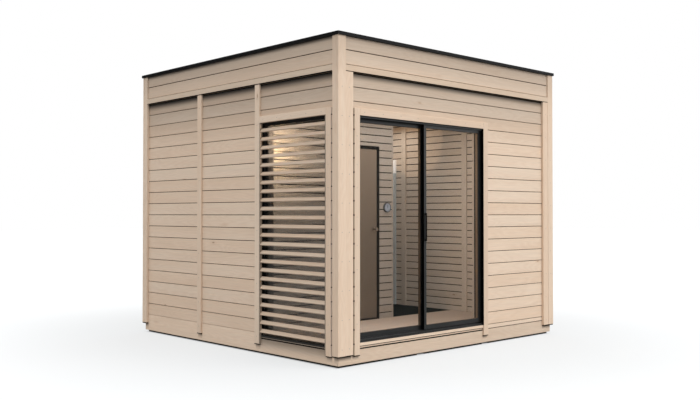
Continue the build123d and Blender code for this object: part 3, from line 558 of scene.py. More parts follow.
def ring(profile, outer, inner):
    """A closed profile of (share, height) points carried round a rectangle with mitred corners. The share
    runs from the outer rectangle, 0, to the inner one, 1."""
    share, height = np.asarray(profile, float).T
    (a0, a1, b0, b1), (c0, c1, d0, d1) = outer, inner
    first = np.array([(a0, b0), (a1, b0), (a1, b1), (a0, b1)], float)
    second = np.array([(c0, d0), (c1, d0), (c1, d1), (c0, d1)], float)
    count = len(share)
    points = np.empty((4, count, 3))
    points[..., :2] = first[:, None] + share[None, :, None] * (second - first)[:, None]
    points[..., 2] = height
    index = np.arange(4 * count).reshape(4, count)
    onward = np.roll(index, -1, axis=0)
    quads = np.stack([index, onward, np.roll(onward, -1, 1), np.roll(index, -1, 1)], -1)
    return points.reshape(-1, 3), quads.reshape(-1, 4).tolist()


def lathe(profile, centre, axis, sides=40):
    """A profile of (radius, height) points turned about an axis through a centre: each point moves by its
    radius times the angle's cosine and sine, and by its height along the axis. It starts and ends at 0."""
    radius, height = np.asarray(profile, float)[1:-1].T
    turn = np.arange(sides) * 2 * np.pi / sides
    axis = np.asarray(axis, float)
    side = np.cross(axis, (0.3, 0.5, 0.8))
    side /= np.linalg.norm(side)
    other = np.cross(axis, side)
    rim = np.cos(turn)[:, None] * side + np.sin(turn)[:, None] * other
    body = radius[:, None, None] * rim + height[:, None, None] * axis
    ends = np.array([profile[0][1] * axis, profile[-1][1] * axis])
    points = np.concatenate([body.reshape(-1, 3), ends]) + centre
    index = np.arange(len(radius) * sides).reshape(len(radius), sides)
    after = np.roll(index, -1, 1)
    quads = np.stack([index[:-1], after[:-1], after[1:], index[1:]], -1).reshape(-1, 4).tolist()
    low = np.stack([np.full(sides, len(points) - 2), after[0], index[0]], -1).tolist()
    high = np.stack([np.full(sides, len(points) - 1), index[-1], after[-1]], -1).tolist()
    return points, quads + low + high


def joined(*shapes):
    """Several (points, faces) shapes as one."""
    points, faces, start = [], [], 0
    for some, theirs in shapes:
        points.append(some)
        faces += [[v + start for v in face] for face in theirs]
        start += len(some)
    return np.concatenate(points), faces


def studs(name, places, out, radius, slot, finish):
    """Screw heads: at each place a low dome, a ring of eight points, the same ring at 0.7 of its radius and
    a tip, each ring the radius times the angle's cosine and sine, raised along the outward axis."""
    places, out = np.asarray(places, float), np.asarray(out, float)
    side = np.roll(np.abs(out), 1)
    turn = np.arange(8) * np.pi / 4
    rim = radius * (np.cos(turn)[:, None] * side + np.sin(turn)[:, None] * np.cross(out, side))
    shape = np.concatenate([rim, 0.7 * rim + 0.8 * out, [1.1 * out]])
    points = (places[:, None] + shape).reshape(-1, 3)
    first = np.arange(8)
    after = np.roll(first, -1)
    walls = np.stack([first, after, after + 8, first + 8], 1)
    tips = np.stack([first + 8, after + 8, np.full(8, 16)], 1)
    starts = (np.arange(len(places)) * 17)[:, None, None]
    faces = (walls + starts).reshape(-1, 4).tolist() + (tips + starts).reshape(-1, 3).tolist()
    faces += (first[::-1] + starts[:, 0]).tolist()
    return piece(name, points, faces, slot, finish=finish)


def rows(start, pitch, count, gap):
    """Low and high edges of equal courses, each a gap short of its pitch."""
    low = start + np.arange(count) * pitch
    return np.stack([low, low + pitch - gap], 1)


# The cabin: boards, rooms, doors and metal, screws, roof and packers.

def outer_boards():
    """The boarding of the four sides, with a narrow strip over the skirt in front."""
    edges = np.minimum(rows(FIRST_BOARD + JOINT / 2, BOARD_PITCH, BOARD_ROWS, JOINT), CLADDING_TOP)
    strip = (SKIRT_TOP + 8, FIRST_BOARD - 3)
    face, back = CLADDING_FACE, FRAME_FACE
    door = (DOOR_LEFT - DOOR_HOLE, DOOR_RIGHT + DOOR_HOLE, 0, DOOR_HEAD + DOOR_HOLE)
    louvre = (LOUVRE_Y, LOUVRE_END, 0, LOUVRE_HEAD)
    front = Stack(11).cut((back, WIDTH - back, face, back), np.vstack([strip, edges]), door, 0, 3.0)
    front.piece("front_boards", "spruce", ["front_cladding"], finish="front_spruce")
    left = Stack(12).cut((face, back, face, DEPTH - face), edges, louvre, 1, 3.0)
    left.piece("left_boards", "spruce", ["left_cladding"], finish="side_spruce")
    right = Stack(13).courses((WIDTH - back, WIDTH - face, face, DEPTH - face), edges, 1, 3.0)
    right.piece("right_boards", "spruce", ["right_cladding"], finish="side_spruce")
    rear = Stack(14).courses((back, WIDTH - back, DEPTH - back, DEPTH - face), edges, 0, 3.0)
    rear.piece("back_boards", "spruce", ["back_cladding"], finish="front_spruce")


def skirt():
    """The base skirt, and a skin of half a millimetre on it below the posts, trims and battens that carries
    their painted shadow."""
    face, back = CLADDING_FACE, FRAME_FACE
    base = Stack(21).add([(face, WIDTH - face, face, back, BASE_LOW, SKIRT_TOP),
                          (face, WIDTH - face, DEPTH - back, DEPTH - face, BASE_LOW, FIRST_BOARD)], 0, 3.0)
    base.add((WIDTH - back, WIDTH - face, back, DEPTH - back, BASE_LOW, FIRST_BOARD), 1, 2.0, square=True)
    base.piece("base_skirt", "spruce", ["base_boards"], finish="base_spruce")
    # Painted light and shade: the left skirt is a lighter copy of the spruce, the rest of the skirt a darker
    # one.
    side = Stack(24).add([(face, back, *y, BASE_LOW, FIRST_BOARD)
                          for y in ((back, LOUVRE_Y), (LOUVRE_END, DEPTH - back))], 1, 2.0, [0, 0], True)
    side.piece("base_skirt_left", "spruce", finish="side_base_spruce")
    # Painted shade: the skirt under the louvre darkens towards its top.
    bay = Stack(24).add((face, back, LOUVRE_Y, LOUVRE_END, BASE_LOW, BAY_TOP), 1, 2.0, square=True)
    bay.piece("base_skirt_under_louvre", "spruce", finish="bay_spruce")

    # Painted shadow: a thin skin on the skirt below the posts, trims and battens, darker towards its top.
    outside, inside, heights = face - 0.4, face + 0.2, (BASE_LOW + 24, TRIM_BOTTOM + 4)
    inset, reach = face + 1, CORNER_INNER - 5
    near, far = (inset, reach), (WIDTH - reach, WIDTH - inset)
    fronts = (near, (DOOR_LEFT - TRIM, DOOR_LEFT), (DOOR_RIGHT, DOOR_RIGHT + TRIM), far)
    backs = (near, *((x, x + BATTEN) for x in BACK_BATTENS), far)
    lefts = ((inset, CORNER_REACH), (LOUVRE_Y - LOUVRE_TRIM, LOUVRE_Y),
             *((y, y + BATTEN) for y in SIDE_BATTENS), (DEPTH - CORNER_REACH_BACK, DEPTH - inset))
    skin = Stack(21).add([(*x, outside, inside, *heights) for x in fronts]
                         + [(*x, DEPTH - inside, DEPTH - outside, *heights) for x in backs],
                         0, 0.1, [0] * 4 + [1] * 4)
    skin.add([(outside, inside, *y, *heights) for y in lefts], 1, 0.1, [0] * 5)
    skin.piece("skirt_shadow_skin", "spruce", finish="skirt_shadow_spruce")


def drip_and_fascia():
    """The drip course, the fascia's two courses, and black strips of painted shadow behind their joints and
    under the drip course.
    """
    ends, sides = (CORNER_WIDE, WIDTH - CORNER_WIDE), (CORNER_REACH, DEPTH - CORNER_REACH_BACK)
    shape = (0, CLADDING_FACE, BOARDS_TOP + 5, FASCIA_BASE - 3, 1.5)
    drip = Stack(22).fronts(*ends, *shape).flanks(*sides, *shape)
    drip.piece("drip_course", "spruce", ["drip_boards"], finish="drip_spruce")
    # The sides' fascia is a piece of its own for its deeper painted shade.
    fascia, flank_fascia = Stack(23), Stack(26)
    for z0, z1 in ((FASCIA_BASE + 4, FASCIA_JOINT - FASCIA_GAP), (FASCIA_JOINT + FASCIA_GAP, CAP_BASE)):
        fascia.fronts(*ends, FASCIA_FACE, CLADDING_FACE, z0, z1, 3.0)
        flank_fascia.flanks(*sides, FASCIA_FACE, CLADDING_FACE, z0, z1, 3.0)
    fascia.piece("fascia_courses", "spruce", ["fascia_boards"], finish="fascia_spruce")
    flank_fascia.piece("side_fascia_courses", "spruce", finish="side_fascia_spruce")
    # Painted shadow: black strips behind the fascia's gaps and along the underside of the drip course.
    backing = Stack(27)
    for end, face, z0, z1 in ((CORNER_WIDE + 2, FASCIA_FACE + 8, BOARDS_TOP + 8, CAP_BASE - 4),
                              (CORNER_WIDE + 1, 2, BOARDS_TOP + 1, BOARDS_TOP + 5.3)):
        backing.fronts(end, WIDTH - end, face, SEAL_BACK, z0, z1, 0.5)
        backing.flanks(end, DEPTH - end, face, SEAL_BACK, z0, z1, 0.5)
    backing.piece("fascia_backing", "wind_sheet", finish="painted_shadow_black")


def at_corners(shapes):
    """Blocks at the cabin's four corners. For a side board's reach, shapes gives them as (x0, x1, y0, y1,
    z0, z1) from the corner inwards."""
    blocks = []
    for x, across in ((0, 1), (WIDTH, -1)):
        for y, inwards, reach in ((0, 1, CORNER_REACH), (DEPTH, -1, CORNER_REACH_BACK)):
            for x0, x1, y0, y1, z0, z1 in shapes(reach):
                blocks.append((*sorted((x + across * x0, x + across * x1)),
                               *sorted((y + inwards * y0, y + inwards * y1)), z0, z1))
    return blocks


def corners_and_battens():
    """The corner boards, the battens on the sides and back, and black strips of painted shadow under all of
    them.
    """
    posts = Stack(31).add(at_corners(lambda reach: (
        (0, CORNER_WIDE, 0, CLADDING_FACE, CORNER_FOOT, CAP_BASE),
        (0, CLADDING_FACE, CLADDING_FACE + 0.4, reach, CORNER_FOOT, CAP_BASE),
        (CORNER_WIDE + 0.6, CORNER_INNER, CORNER_INNER_FACE, CLADDING_FACE, CORNER_FOOT, BOARDS_TOP)
    )), 2, 3.0)
    posts.piece("corner_boards", "spruce", ["corner_posts"], finish="post_spruce")

    battens = [(*x, y, y + BATTEN, TRIM_BOTTOM, BOARDS_TOP) for y in SIDE_BATTENS
               for x in ((TRIM_FACE, CLADDING_FACE), (WIDTH - CLADDING_FACE, WIDTH - TRIM_FACE))]
    battens += [(x, x + BATTEN, DEPTH - CLADDING_FACE, DEPTH - TRIM_FACE, TRIM_BOTTOM, BOARDS_TOP)
                for x in BACK_BATTENS]
    Stack(32).add(battens, 2, 3.0).piece("side_and_back_battens", "spruce", ["wall_battens"])

    # Painted shadow: black strips under the ends of the corner boards, battens and trims.
    back, foot = SEAL_BACK - 0.1, (CORNER_FOOT - 9, CORNER_FOOT + 0.5)
    shadow_strips = at_corners(lambda reach: ((1.5, CORNER_INNER - 6.5, CORNER_INNER_FACE + 0.5, back, *foot),
                                      (1.5, back, back, reach - 1.5, *foot)))
    foot, door_foot = ((bottom - 7, bottom + 0.2) for bottom in (TRIM_BOTTOM, DOOR_TRIM_BOTTOM))
    shadow_strips += [(x0 + 1, x1 - 1.5, y0 + 1, y1 - 1.5, *foot) for x0, x1, y0, y1, _, _ in battens]
    shadow_strips += [(x + 1, x + TRIM - 1.5, TRIM_FACE + 1, SEAL_BACK, *door_foot)
              for x in (DOOR_LEFT - TRIM, DOOR_RIGHT)]
    shadow_strips.append((TRIM_FACE + 1, SEAL_BACK, LOUVRE_Y - LOUVRE_TRIM + 1, LOUVRE_Y - 2, *foot))
    Stack(33).add(shadow_strips, 2, 0.5).piece("end_shadow_strips", "black_packer", finish="painted_shadow_black")


def door_surround():
    """The front door's trims and sill, with black strips of painted shadow in the opening and in the sill's
    grooves, and a brown strip of painted shadow in the slot beside the left trim, with a black mark at each
    board joint."""
    left, top = DOOR_LEFT - TRIM, DOOR_HEAD + HEADER
    trims = Stack(41).add([(*x, TRIM_FACE, CLADDING_FACE, DOOR_TRIM_BOTTOM, top)
                           for x in ((left + 5.5, DOOR_LEFT), (DOOR_RIGHT, DOOR_RIGHT + TRIM))], 2, 2.5)
    trims.add((DOOR_LEFT + 0.5, DOOR_RIGHT - 0.5, TRIM_FACE, CLADDING_FACE, DOOR_HEAD, top), 0, 2.5)
    trims.piece("door_surround", "spruce", ["door_trims"], finish="trim_spruce")
    y = (9.5, SEAL_BACK)
    # Painted shadow: black strips on the opening's sides, under its head and on the right jamb's side, and a
    # black mark at each board joint in the slot beside the left trim.
    lining = Stack(46).add([(DOOR_LEFT - 0.2, DOOR_LEFT + 2, *y, DOOR_SILL, DOOR_HEAD),
                            (DOOR_RIGHT - 2, DOOR_RIGHT + 0.2, *y, DOOR_SILL, DOOR_HEAD)], 2, 0.5)
    lining.add((DOOR_LEFT, DOOR_RIGHT, *y, DOOR_HEAD - 2, DOOR_HEAD + 0.2), 0, 0.5)
    lining.add((DOOR_RIGHT - 1.5, DOOR_RIGHT + 0.2, 28.5, 42, DOOR_SILL + 30, DOOR_HEAD - 19), 2, 0.4)
    lining.add([(left - 1.6, left + 5.2, 7.7, 27, z - 7, z + 7) for z in BOARD_JOINTS], 2, 0.3)
    lining.piece("door_opening_shadow_lining", "black_packer", finish="painted_shadow_black")
    # Painted shadow: a brown strip for the shaded slot beside the left trim.
    strip = Stack(34).add((left - 0.8, left + 6, TRIM_FACE - 0.1, CLADDING_FACE - 0.2,
                           DOOR_TRIM_BOTTOM + 2, top - 2), 2, 0.2)
    strip.piece("door_trim_slot_shadow", "black_packer", finish="slot_shadow_brown")

    x = (DOOR_LEFT + 0.3, DOOR_RIGHT - 0.3)
    sill = Stack(42).add([(*x, CLADDING_FACE - 10, FRAME_FACE - 1, DOOR_SILL - 30, DOOR_SILL - 1.5),
                          (*x, CLADDING_FACE, FRAME_FACE - 2, SKIRT_TOP + 4, SKIRT_TOP + 14.5),
                          (*x, FRAME_FACE + 6, LINING_BACK, FLOOR_FRAME_TOP, DOOR_SILL - 0.5)], 0, 2.5)
    sill.piece("door_sill_boards", "spruce", ["door_sill"])
    flashing = Stack(48).add((*x, 20, FRAME_FACE, DOOR_SILL - 2, DOOR_SILL + 0.3), 0, 0.4)
    flashing.piece("door_sill_flashing", "anthracite")
    # Painted shadow: black strips behind the sill and in its groove.
    groove_shade = Stack(45).add([(*x, FRAME_FACE + 0.5, FRAME_FACE + 5.5, FLOOR_FRAME_TOP + 0.5, DOOR_SILL - 1),
                          (*x, 27.2, FRAME_FACE - 3, SKIRT_TOP - 7, SKIRT_TOP + 2)], 0, 0.5)
    groove_shade.piece("door_sill_shadow_strips", "wind_sheet", finish="painted_shadow_black")


def louvre_screen():
    """The louvre's trims and slats, black strips of painted shadow round them, a dark band of painted shadow
    on the sill, and the edge of its trim in the corner's slot, a paler copy of the spruce as painted light.
    """
    edge, top = LOUVRE_Y - LOUVRE_TRIM, LOUVRE_HEAD + HEADER
    trims = Stack(43).add((TRIM_FACE, CLADDING_FACE, edge, LOUVRE_Y - 0.5, TRIM_BOTTOM, top), 2, 2.5)
    trims.add((TRIM_FACE, CLADDING_FACE, LOUVRE_Y, LOUVRE_END, LOUVRE_HEAD, top), 1, 2.5)
    trims.piece("louvre_surround", "spruce", ["louvre_trims"])

    x, y = (TRIM_FACE + LOUVRE_BACK) / 2, (LOUVRE_Y + LOUVRE_END) / 2
    wide, long, thick = SLAT_HALVES
    levels = [TOP_SLAT - SLAT_PITCH * row for row in range(SLAT_COUNT)]
    cosine, sine = math.cos(math.radians(SLAT_TILT)), math.sin(math.radians(SLAT_TILT))
    slats = Stack(44).add([(x - wide, x + wide, y - long, y + long, z - thick, z + thick) for z in levels],
                          1, 2.0, turn=[[cosine, 0, -sine], [0, 1, 0], [sine, 0, cosine]])
    slats.piece("louvre_blades", "spruce", ["louvre_slats"], finish="slat_spruce")

    # Painted shadow: a black line under the lowest slat and one at the sill's foot, black lines at the slats'
    # ends, and a black mark at each board joint beside the trim.
    y0, y1 = LOUVRE_Y + 10.5, LOUVRE_END - 10.5
    shadow_strips = Stack(49).add([(28.4, 30.4, y0, y1, 186, 193), (28.6, 30.4, y0, y1, 147, 159.5)], 1, 0.4)
    shadow_strips.add([(38, 42, *y, 192, LOUVRE_HEAD - 8)
               for y in ((y0 - 1, LOUVRE_Y + 47), (y1 - 10, y1 + 1))], 2, 0.4)
    shadow_strips.add([(9, SEAL_BACK, edge - 1.2, edge + 0.5, z - 4, z + 4) for z in BOARD_JOINTS], 0, 0.4)
    shadow_strips.piece("louvre_shadow_strips", "black_packer", finish="painted_shadow_black")
    # Painted shadow: a dark band on the sill below the slats.
    band = Stack(50).add((28.8, 30.4, y0, y1, 166, 187), 1, 0.4)
    band.piece("louvre_sill_shadow_band", "black_packer", finish="sill_shadow_grey")
    # Painted light: a paler, greyer copy of the spruce on the trim's edge.
    slot = Stack(51).add((8.6, 27.8, edge - 0.6, edge + 0.5, TRIM_BOTTOM + 2, top - 2), 2, 0.2)
    slot.piece("louvre_trim_edge", "spruce", finish="slot_spruce")


def lining_rows():
    """Low and high edges of the inner boards' courses, from the floor to the ceiling."""
    pitch = (CEILING_BASE - FLOOR_TOP) / LINING_ROWS
    edges = rows(FLOOR_TOP - LINING_DROP, pitch, LINING_ROWS + 1, LINING_JOINT)
    return np.clip(edges, FLOOR_TOP, CEILING_BASE)


def wall_linings():
    """The inner boards, the reveals that return from them to the door frame and to the window behind the
    louvre, and the cover battens on the right wall."""
    edges = lining_rows()
    back, face, inside, member = LINING_BACK, INNER_FACE, WIDTH - INNER_FACE, WINDOW_MEMBER
    door, louvre = (DOOR_LEFT, DOOR_RIGHT, 0, DOOR_HEAD), (LOUVRE_Y, LOUVRE_END, 0, LOUVRE_HEAD)
    lining = Stack(51).cut((back, WIDTH - back, back, face), edges, door, 0, 2.5)
    lining.courses((back, WIDTH - back, DEPTH - face, DEPTH - back), edges, 0, 2.5)
    lining.cut((back, face, face, DEPTH - face), edges, louvre, 1, 2.5)
    lining.courses((inside, WIDTH - back, face, DEPTH - face), edges, 1, 2.5)
    lining.surround(0, (DOOR_LEFT - DOOR_HOLE, DOOR_RIGHT + DOOR_HOLE, DOOR_SILL, DOOR_HEAD + DOOR_HOLE),
                    (DOOR_LEFT, DOOR_RIGHT, DOOR_SILL, DOOR_HEAD), DOOR_FRAME_BACK, back, 1.0)
    lining.piece("inner_boards", "inner_spruce", ["wall_lining"])
    reveal = Stack(60).surround(1, (LOUVRE_Y, LOUVRE_END, FLOOR_TOP, LOUVRE_HEAD),
                                (LOUVRE_Y + member, LOUVRE_END - member, FLOOR_TOP + member,
                                 LOUVRE_HEAD - member), WINDOW_BACK, face, 1.5)
    reveal.piece("window_reveal_boards", "inner_spruce", finish="reveal_spruce")
    battens = Stack(52).add([(inside - 20, inside, y, y + BATTEN, FLOOR_TOP, CEILING_BASE)
                             for y in INNER_BATTENS], 2, 3.0)
    battens.piece("inner_cover_battens", "inner_spruce", ["inner_battens"])


def ceiling_boards():
    """The ceiling's boards and the sheet over them."""
    top, x, y = CEILING_BASE + 14, (INNER_FACE, WIDTH - INNER_FACE), (INNER_FACE, DEPTH - INNER_FACE)
    edges = rows(INNER_FACE, (DEPTH - 2 * INNER_FACE) / CEILING_ROWS, CEILING_ROWS, 4.0)
    ceiling = Stack(53).add([(*x, *edge, CEILING_BASE, top) for edge in edges], 0, 2.5)
    ceiling.add((*x, *y, top, BOARDS_TOP), 0, 1.0)
    ceiling.piece("ceiling_boards", "inner_spruce", ["ceiling"])


def partitions():
    """The sauna room's walls: boards on both faces of a dark core."""
    edges, cores, board, end = lining_rows(), Stack(59), PARTITION_BOARD, PARTITION_END
    core = (PARTITION_Y + board + 0.5, PARTITION_BACK - board - 0.5)
    for part, node, x0, x1, z0 in (("left", "partition_left", INNER_FACE, SAUNA_LEFT, FLOOR_TOP),
                                   ("right", "partition_right", SAUNA_RIGHT, end - board, FLOOR_TOP),
                                   ("over", "partition_over_door", SAUNA_LEFT, SAUNA_RIGHT, SAUNA_HEAD)):
        wall, kept = Stack(54), np.nonzero(edges[:, 1] > z0 + 6)[0]
        for y in (PARTITION_Y, PARTITION_BACK - board):
            wall.courses((x0, x1, y, y + board), np.maximum(edges[kept], z0), 0, 2.5, kept, True)
        cores.add((x0, x1 - 0.5, *core, z0, CEILING_BASE), 2, 1.0)
        wall.piece("partition_boards_" + part, "inner_spruce", [node], finish="partition_spruce")
    wall, y = Stack(57), (PARTITION_BACK, DEPTH - INNER_FACE)
    for x in (end - 5 * board, end - board):
        wall.courses((x, x + board, *y), edges, 1, 2.5, square=True)
    wall.add((end - board, end, PARTITION_Y, PARTITION_BACK, FLOOR_TOP, CEILING_BASE), 2, 1.5)
    wall.piece("return_wall_boards", "inner_spruce", ["sauna_return_wall"], finish="partition_spruce")
    cores.add((end - 4 * board + 0.5, end - board - 0.5, *y, FLOOR_TOP, CEILING_BASE), 2, 1.0)
    cores.piece("partition_cores", "wind_sheet")


def planking():
    """The floor's planks, in the front room and in the sauna room."""
    floor = Stack(58)
    for y0, y1, x1, count in ((LINING_BACK, PARTITION_Y, WIDTH - LINING_BACK, 10),
                              (PARTITION_Y, DEPTH - LINING_BACK, PARTITION_END, 15)):
        floor.add([(LINING_BACK, x1, *edge, FLOOR_FRAME_TOP, FLOOR_TOP)
                   for edge in rows(y0, (y1 - y0) / count, count, 1.6)], 0, 1.5)
    floor.piece("floor_planking", "floor_planks", ["floor_boards"])


def door_leaf(name, node, body, outer, inner, recess, plated):
    """A leaf's frame: a coated outer shell and brown timber behind it, with a gasket round the pane. The
    timber is a lighter copy on the sliding leaf and a darker one on the fixed leaf, painted light and shade.
    A plated leaf has a flat black plate over the timber of its left edge, where the leaves meet, painted
    shade on that edge."""
    a0, a1, b0, b1 = outer
    c0, c1, d0, d1 = inner
    shell, back = recess + 3, recess + LEAF_THICK
    shell_left, timber_left = (a0 + 0.6, a0 + 3) if plated else (a0, a0)
    metal = Stack(61).surround(0, (shell_left, a1, b0, b1), inner, recess, shell, 1.0)
    metal.piece(name + "_shell", "anthracite", [node + "_frame"], body)
    if plated:
        # Painted shade: a flat black plate on the meeting edge.
        plate = Stack(67).add((a0, timber_left, recess + 0.4, back, b0, b1), 2, 0.3)
        plate.piece(name + "_edge_plate", "black_packer", (), body, "painted_shadow_black")
    # The timber's finish is a lighter or darker copy for each leaf: painted light and shade.
    timber = Stack(62).surround(0, (timber_left, a1, b0, b1), inner, shell, back, 2.0)
    timber.piece(name + "_timber", "framing", (), body, name + "_timber")
    lip = (c0 + 1.5, c1 - 1.5, d0 + 1.5, d1 - 1.5)
    gasket = Stack(63).surround(0, inner, lip, recess + 3.2, recess + 6, 0.6)
    gasket.piece(name + "_gasket", "black_packer", (), body)
    panes = Stack(64)
    for face in (recess + 6, back - 10):
        panes.add((c0 - 2, c1 + 2, face, face + 4, d0 - 2, d1 + 2), 2, 0.6)
    panes.piece(name + "_panes", "clear_glass", [node + "_glass"], body)


def metal_frames():
    """The door's frame and leaves, the window behind the louvre, the sauna door, and the rollers."""
    eased("door_frame_profile", "door_frame", "anthracite", 1.0)
    stile, right = LEAF_STILE, DOOR_RIGHT - 5
    top, foot = DOOR_HEAD - 5, DOOR_SILL + 31
    door_leaf("sliding_door", "sliding_leaf", "sliding_leaf", (MEETING_X, right, foot, top),
              (MEETING_X + MEETING_STILE, right - stile, foot + stile, top - stile), OUTER_TRACK, True)
    top, foot = DOOR_HEAD - 8, DOOR_SILL + 28
    door_leaf("fixed_door", "fixed_leaf", "root", (DOOR_LEFT, MEETING_X + MEETING_STILE, foot, top),
              (DOOR_LEFT + stile, MEETING_X, foot + stile, top - stile), INNER_TRACK, False)
    eased("pull_bar", "sliding_leaf_handle", "black_metal", 1.0, "sliding_leaf", "pull_black")
    eased("louvre_window_profile", "louvre_window_frame", "black_metal", 1.5)
    eased("louvre_rails_and_sill", "louvre_rails", "spruce", 0.6, finish="rail_spruce")
    eased("sauna_door_surround", "sauna_door_frame", "black_metal", 1.0)
    eased("sauna_door_pane", "sauna_door_leaf", "bronze_glass", 1.5, "sauna_door")
    eased("sauna_door_hinge_leaves", "sauna_door_hinges", "black_metal", 0.5, "sauna_door")

    wheel = [(0, -7), (10, -7), (11, -6), (11, -3), (9.5, -1), (9.5, 1), (11, 3), (11, 6), (10, 7), (0, 7)]
    places = [(x, 65, DOOR_SILL + 37.3) for x in (MEETING_X + 120, DOOR_RIGHT - 125)]
    rollers = joined(*(lathe(wheel, place, (0, 1, 0), 24) for place in places))
    piece("door_rollers", *rollers, "black_packer", (), "sliding_leaf")


def fittings():
    """The sauna door's knobs, the dial, and the column's shaft."""
    knob_x, knob_z = 1833.0, 1198.0
    turned = [(0, 0), (24.8, 0), (25, 1), (25, 4), (23.5, 6), (10, 6.5), (8.5, 9), (8.5, 24), (11, 27),
              (18, 29), (22, 33), (23, 38), (22.3, 44), (19, 49), (12, 51.6), (0, 52)]
    outer, inner = (lathe(turned, (knob_x, y, knob_z), (0, out, 0)) for y, out in ((1390, -1), (1400, 1)))
    piece("door_knobs", *joined(outer, inner), "knob_metal", ["sauna_door_knob"], "sauna_door")

    x, z, plate_face = 2045.0, 1448.0, PARTITION_Y - 18
    case = [(0, 0), (56, 0), (57, 1.5), (57, 16), (55.5, 20), (52, 22), (49, 21), (47.5, 16), (0, 16)]
    plate = [(0, 15), (47.8, 15), (47.8, 17.5), (46.5, 18), (0, 18)]
    # Painted shade: the case takes the marks' dark finish all round, standing for the shade at the dial's
    # rim.
    piece("dial_case", *lathe(case, (x, PARTITION_Y, z), (0, -1, 0), 64), "dial_face", ["wall_dial"],
          finish="dial_mark")
    piece("dial_plate", *lathe(plate, (x, PARTITION_Y, z), (0, -1, 0), 64), "dial_face")
    turn = np.radians(np.arange(24) * 15)
    marks = np.stack([x + 40 * np.cos(turn), np.full(24, plate_face), z + 40 * np.sin(turn)], 1)
    studs("dial_marks", marks, (0, -1, 0), 2.2, "dial_face", "dial_mark")
    hand = Stack(65).add((x - 3, x + 3, plate_face - 2.5, plate_face, z - 8, z + 32), 2, 1.0)
    hand.piece("dial_hand", "dial_face", finish="dial_mark")

    inside, top = WIDTH - INNER_FACE, FLOOR_TOP + 1755
    front, wide = 2335.5, 49
    column = Stack(66).add((inside - 26, inside, front, front + wide, FLOOR_TOP, top), 2, 1.5)
    ribs = [front + 0.5 + 17 * place for place in range(3)]
    column.add([(inside - 30, inside - 25, y, y + 14, FLOOR_TOP + 2, top) for y in ribs], 2, 1.2)
    column.piece("column_shaft", "column_metal", ["shower_column"])


def screws():
    """Screw heads on the trims, battens and corner boards."""
    levels = np.array([380, 640, 870, 1090, 1345, 1610, 1820, 2080], float)
    tall = np.arange(170.0, 2511.0, 260.0)
    header = LOUVRE_HEAD + HEADER / 2
    front = [(x, TRIM_FACE, z) for x in (DOOR_LEFT - TRIM / 2, DOOR_RIGHT + TRIM / 2) for z in levels]
    front += [(x, TRIM_FACE, header) for x in np.linspace(DOOR_LEFT + 60, DOOR_RIGHT - 60, 8)]
    left = [(TRIM_FACE, LOUVRE_Y - LOUVRE_TRIM / 2, z) for z in levels]
    left += [(TRIM_FACE, y, header) for y in np.linspace(LOUVRE_Y + 60, LOUVRE_END - 60, 5)]
    right, back = [], []
    for outer, face in ((CORNER_WIDE / 2, 0.0), (138.0, CORNER_INNER_FACE)):
        for x in (outer, WIDTH - outer):
            front += [(x, face, z) for z in tall]
            back += [(x, DEPTH - face, z) for z in tall]
    for y in SIDE_BATTENS:
        left += [(TRIM_FACE, y + BATTEN / 2, z) for z in tall]
        right += [(WIDTH - TRIM_FACE, y + BATTEN / 2, z) for z in tall]
    for x in BACK_BATTENS:
        back += [(x + BATTEN / 2, DEPTH - TRIM_FACE, z) for z in tall]
    for side, places, out in (("front", front, (0, -1, 0)), ("left", left, (-1, 0, 0)),
                              ("right", right, (1, 0, 0)), ("back", back, (0, 1, 0))):
        studs("screw_heads_" + side, places, out, 3.6, "knob_metal", "screw_steel")


def roof():
    """The black edge cap, the straps over its joints, and the laps of the roofing sheet."""
    profile = [(0.0, CAP_BASE), (0.0, CAP_TOP - 1), (0.008, CAP_TOP),
               (0.97, CAP_TOP - 5), (1.0, CAP_TOP - 8), (1.0, CAP_BASE)]
    out, inside = 12, 118
    cap = ring(profile, (-out, WIDTH + out, -out, DEPTH + out),
               (inside, WIDTH - inside, inside, DEPTH - inside))
    piece("roof_edge_cap", *cap, "roof_edge", ["roof_cap"])

    straps, half, heights = Stack(81), 30, (CAP_BASE + 3, CAP_TOP)
    for x in (WIDTH / 3, 2 * WIDTH / 3):
        for y in ((-11.5, 119), (DEPTH - 119, DEPTH + 11.5)):
            straps.add((x - half, x + half, *y, *heights), 0, 0.8)
    for y in (DEPTH / 3, 2 * DEPTH / 3):
        for x in ((-11.5, 119), (WIDTH - 119, WIDTH + 11.5)):
            straps.add((*x, y - half, y + half, *heights), 1, 0.8)
    straps.piece("roof_edge_straps", "roof_edge")
    sheet_top = CAP_BASE - 26
    laps = [(x, x + 90, 120, DEPTH - 120, sheet_top, sheet_top + 3) for x in (1080, 2080)]
    Stack(82).add(laps, 1, 1.2).piece("roof_sheet_laps", "roof_sheet")


def packers():
    """The black packers under the skirt: a rail along each side, and three rows of three between them."""
    inset, wide = 55, 60
    rails = Stack(71)
    for x in (inset, WIDTH - inset - wide):
        rails.add((x, x + wide, inset, DEPTH - inset, 0, BASE_LOW), 1, 2.0)
    rails.add([(*x, y, y + wide, 0, BASE_LOW) for y in (inset, (DEPTH - wide) / 2, DEPTH - inset - wide)
               for x in ((116, 1090), (1200, 2105), (2215, WIDTH - 116))], 0, 2.0)
    rails.piece("plinth_packers", "black_packer", ["base_rails"])


def dress_nodes():
    """Gives each CAD node that stays its finish."""
    for entry in frame["record"]["subparts"]:
        slots = frame["nodes"][entry["node"]].data.materials
        finish = FINISHES[entry["material_slot"]]
        if len(slots) == 0:
            slots.append(finish)
        else:
            slots[0] = finish


# Floor, sky and light.

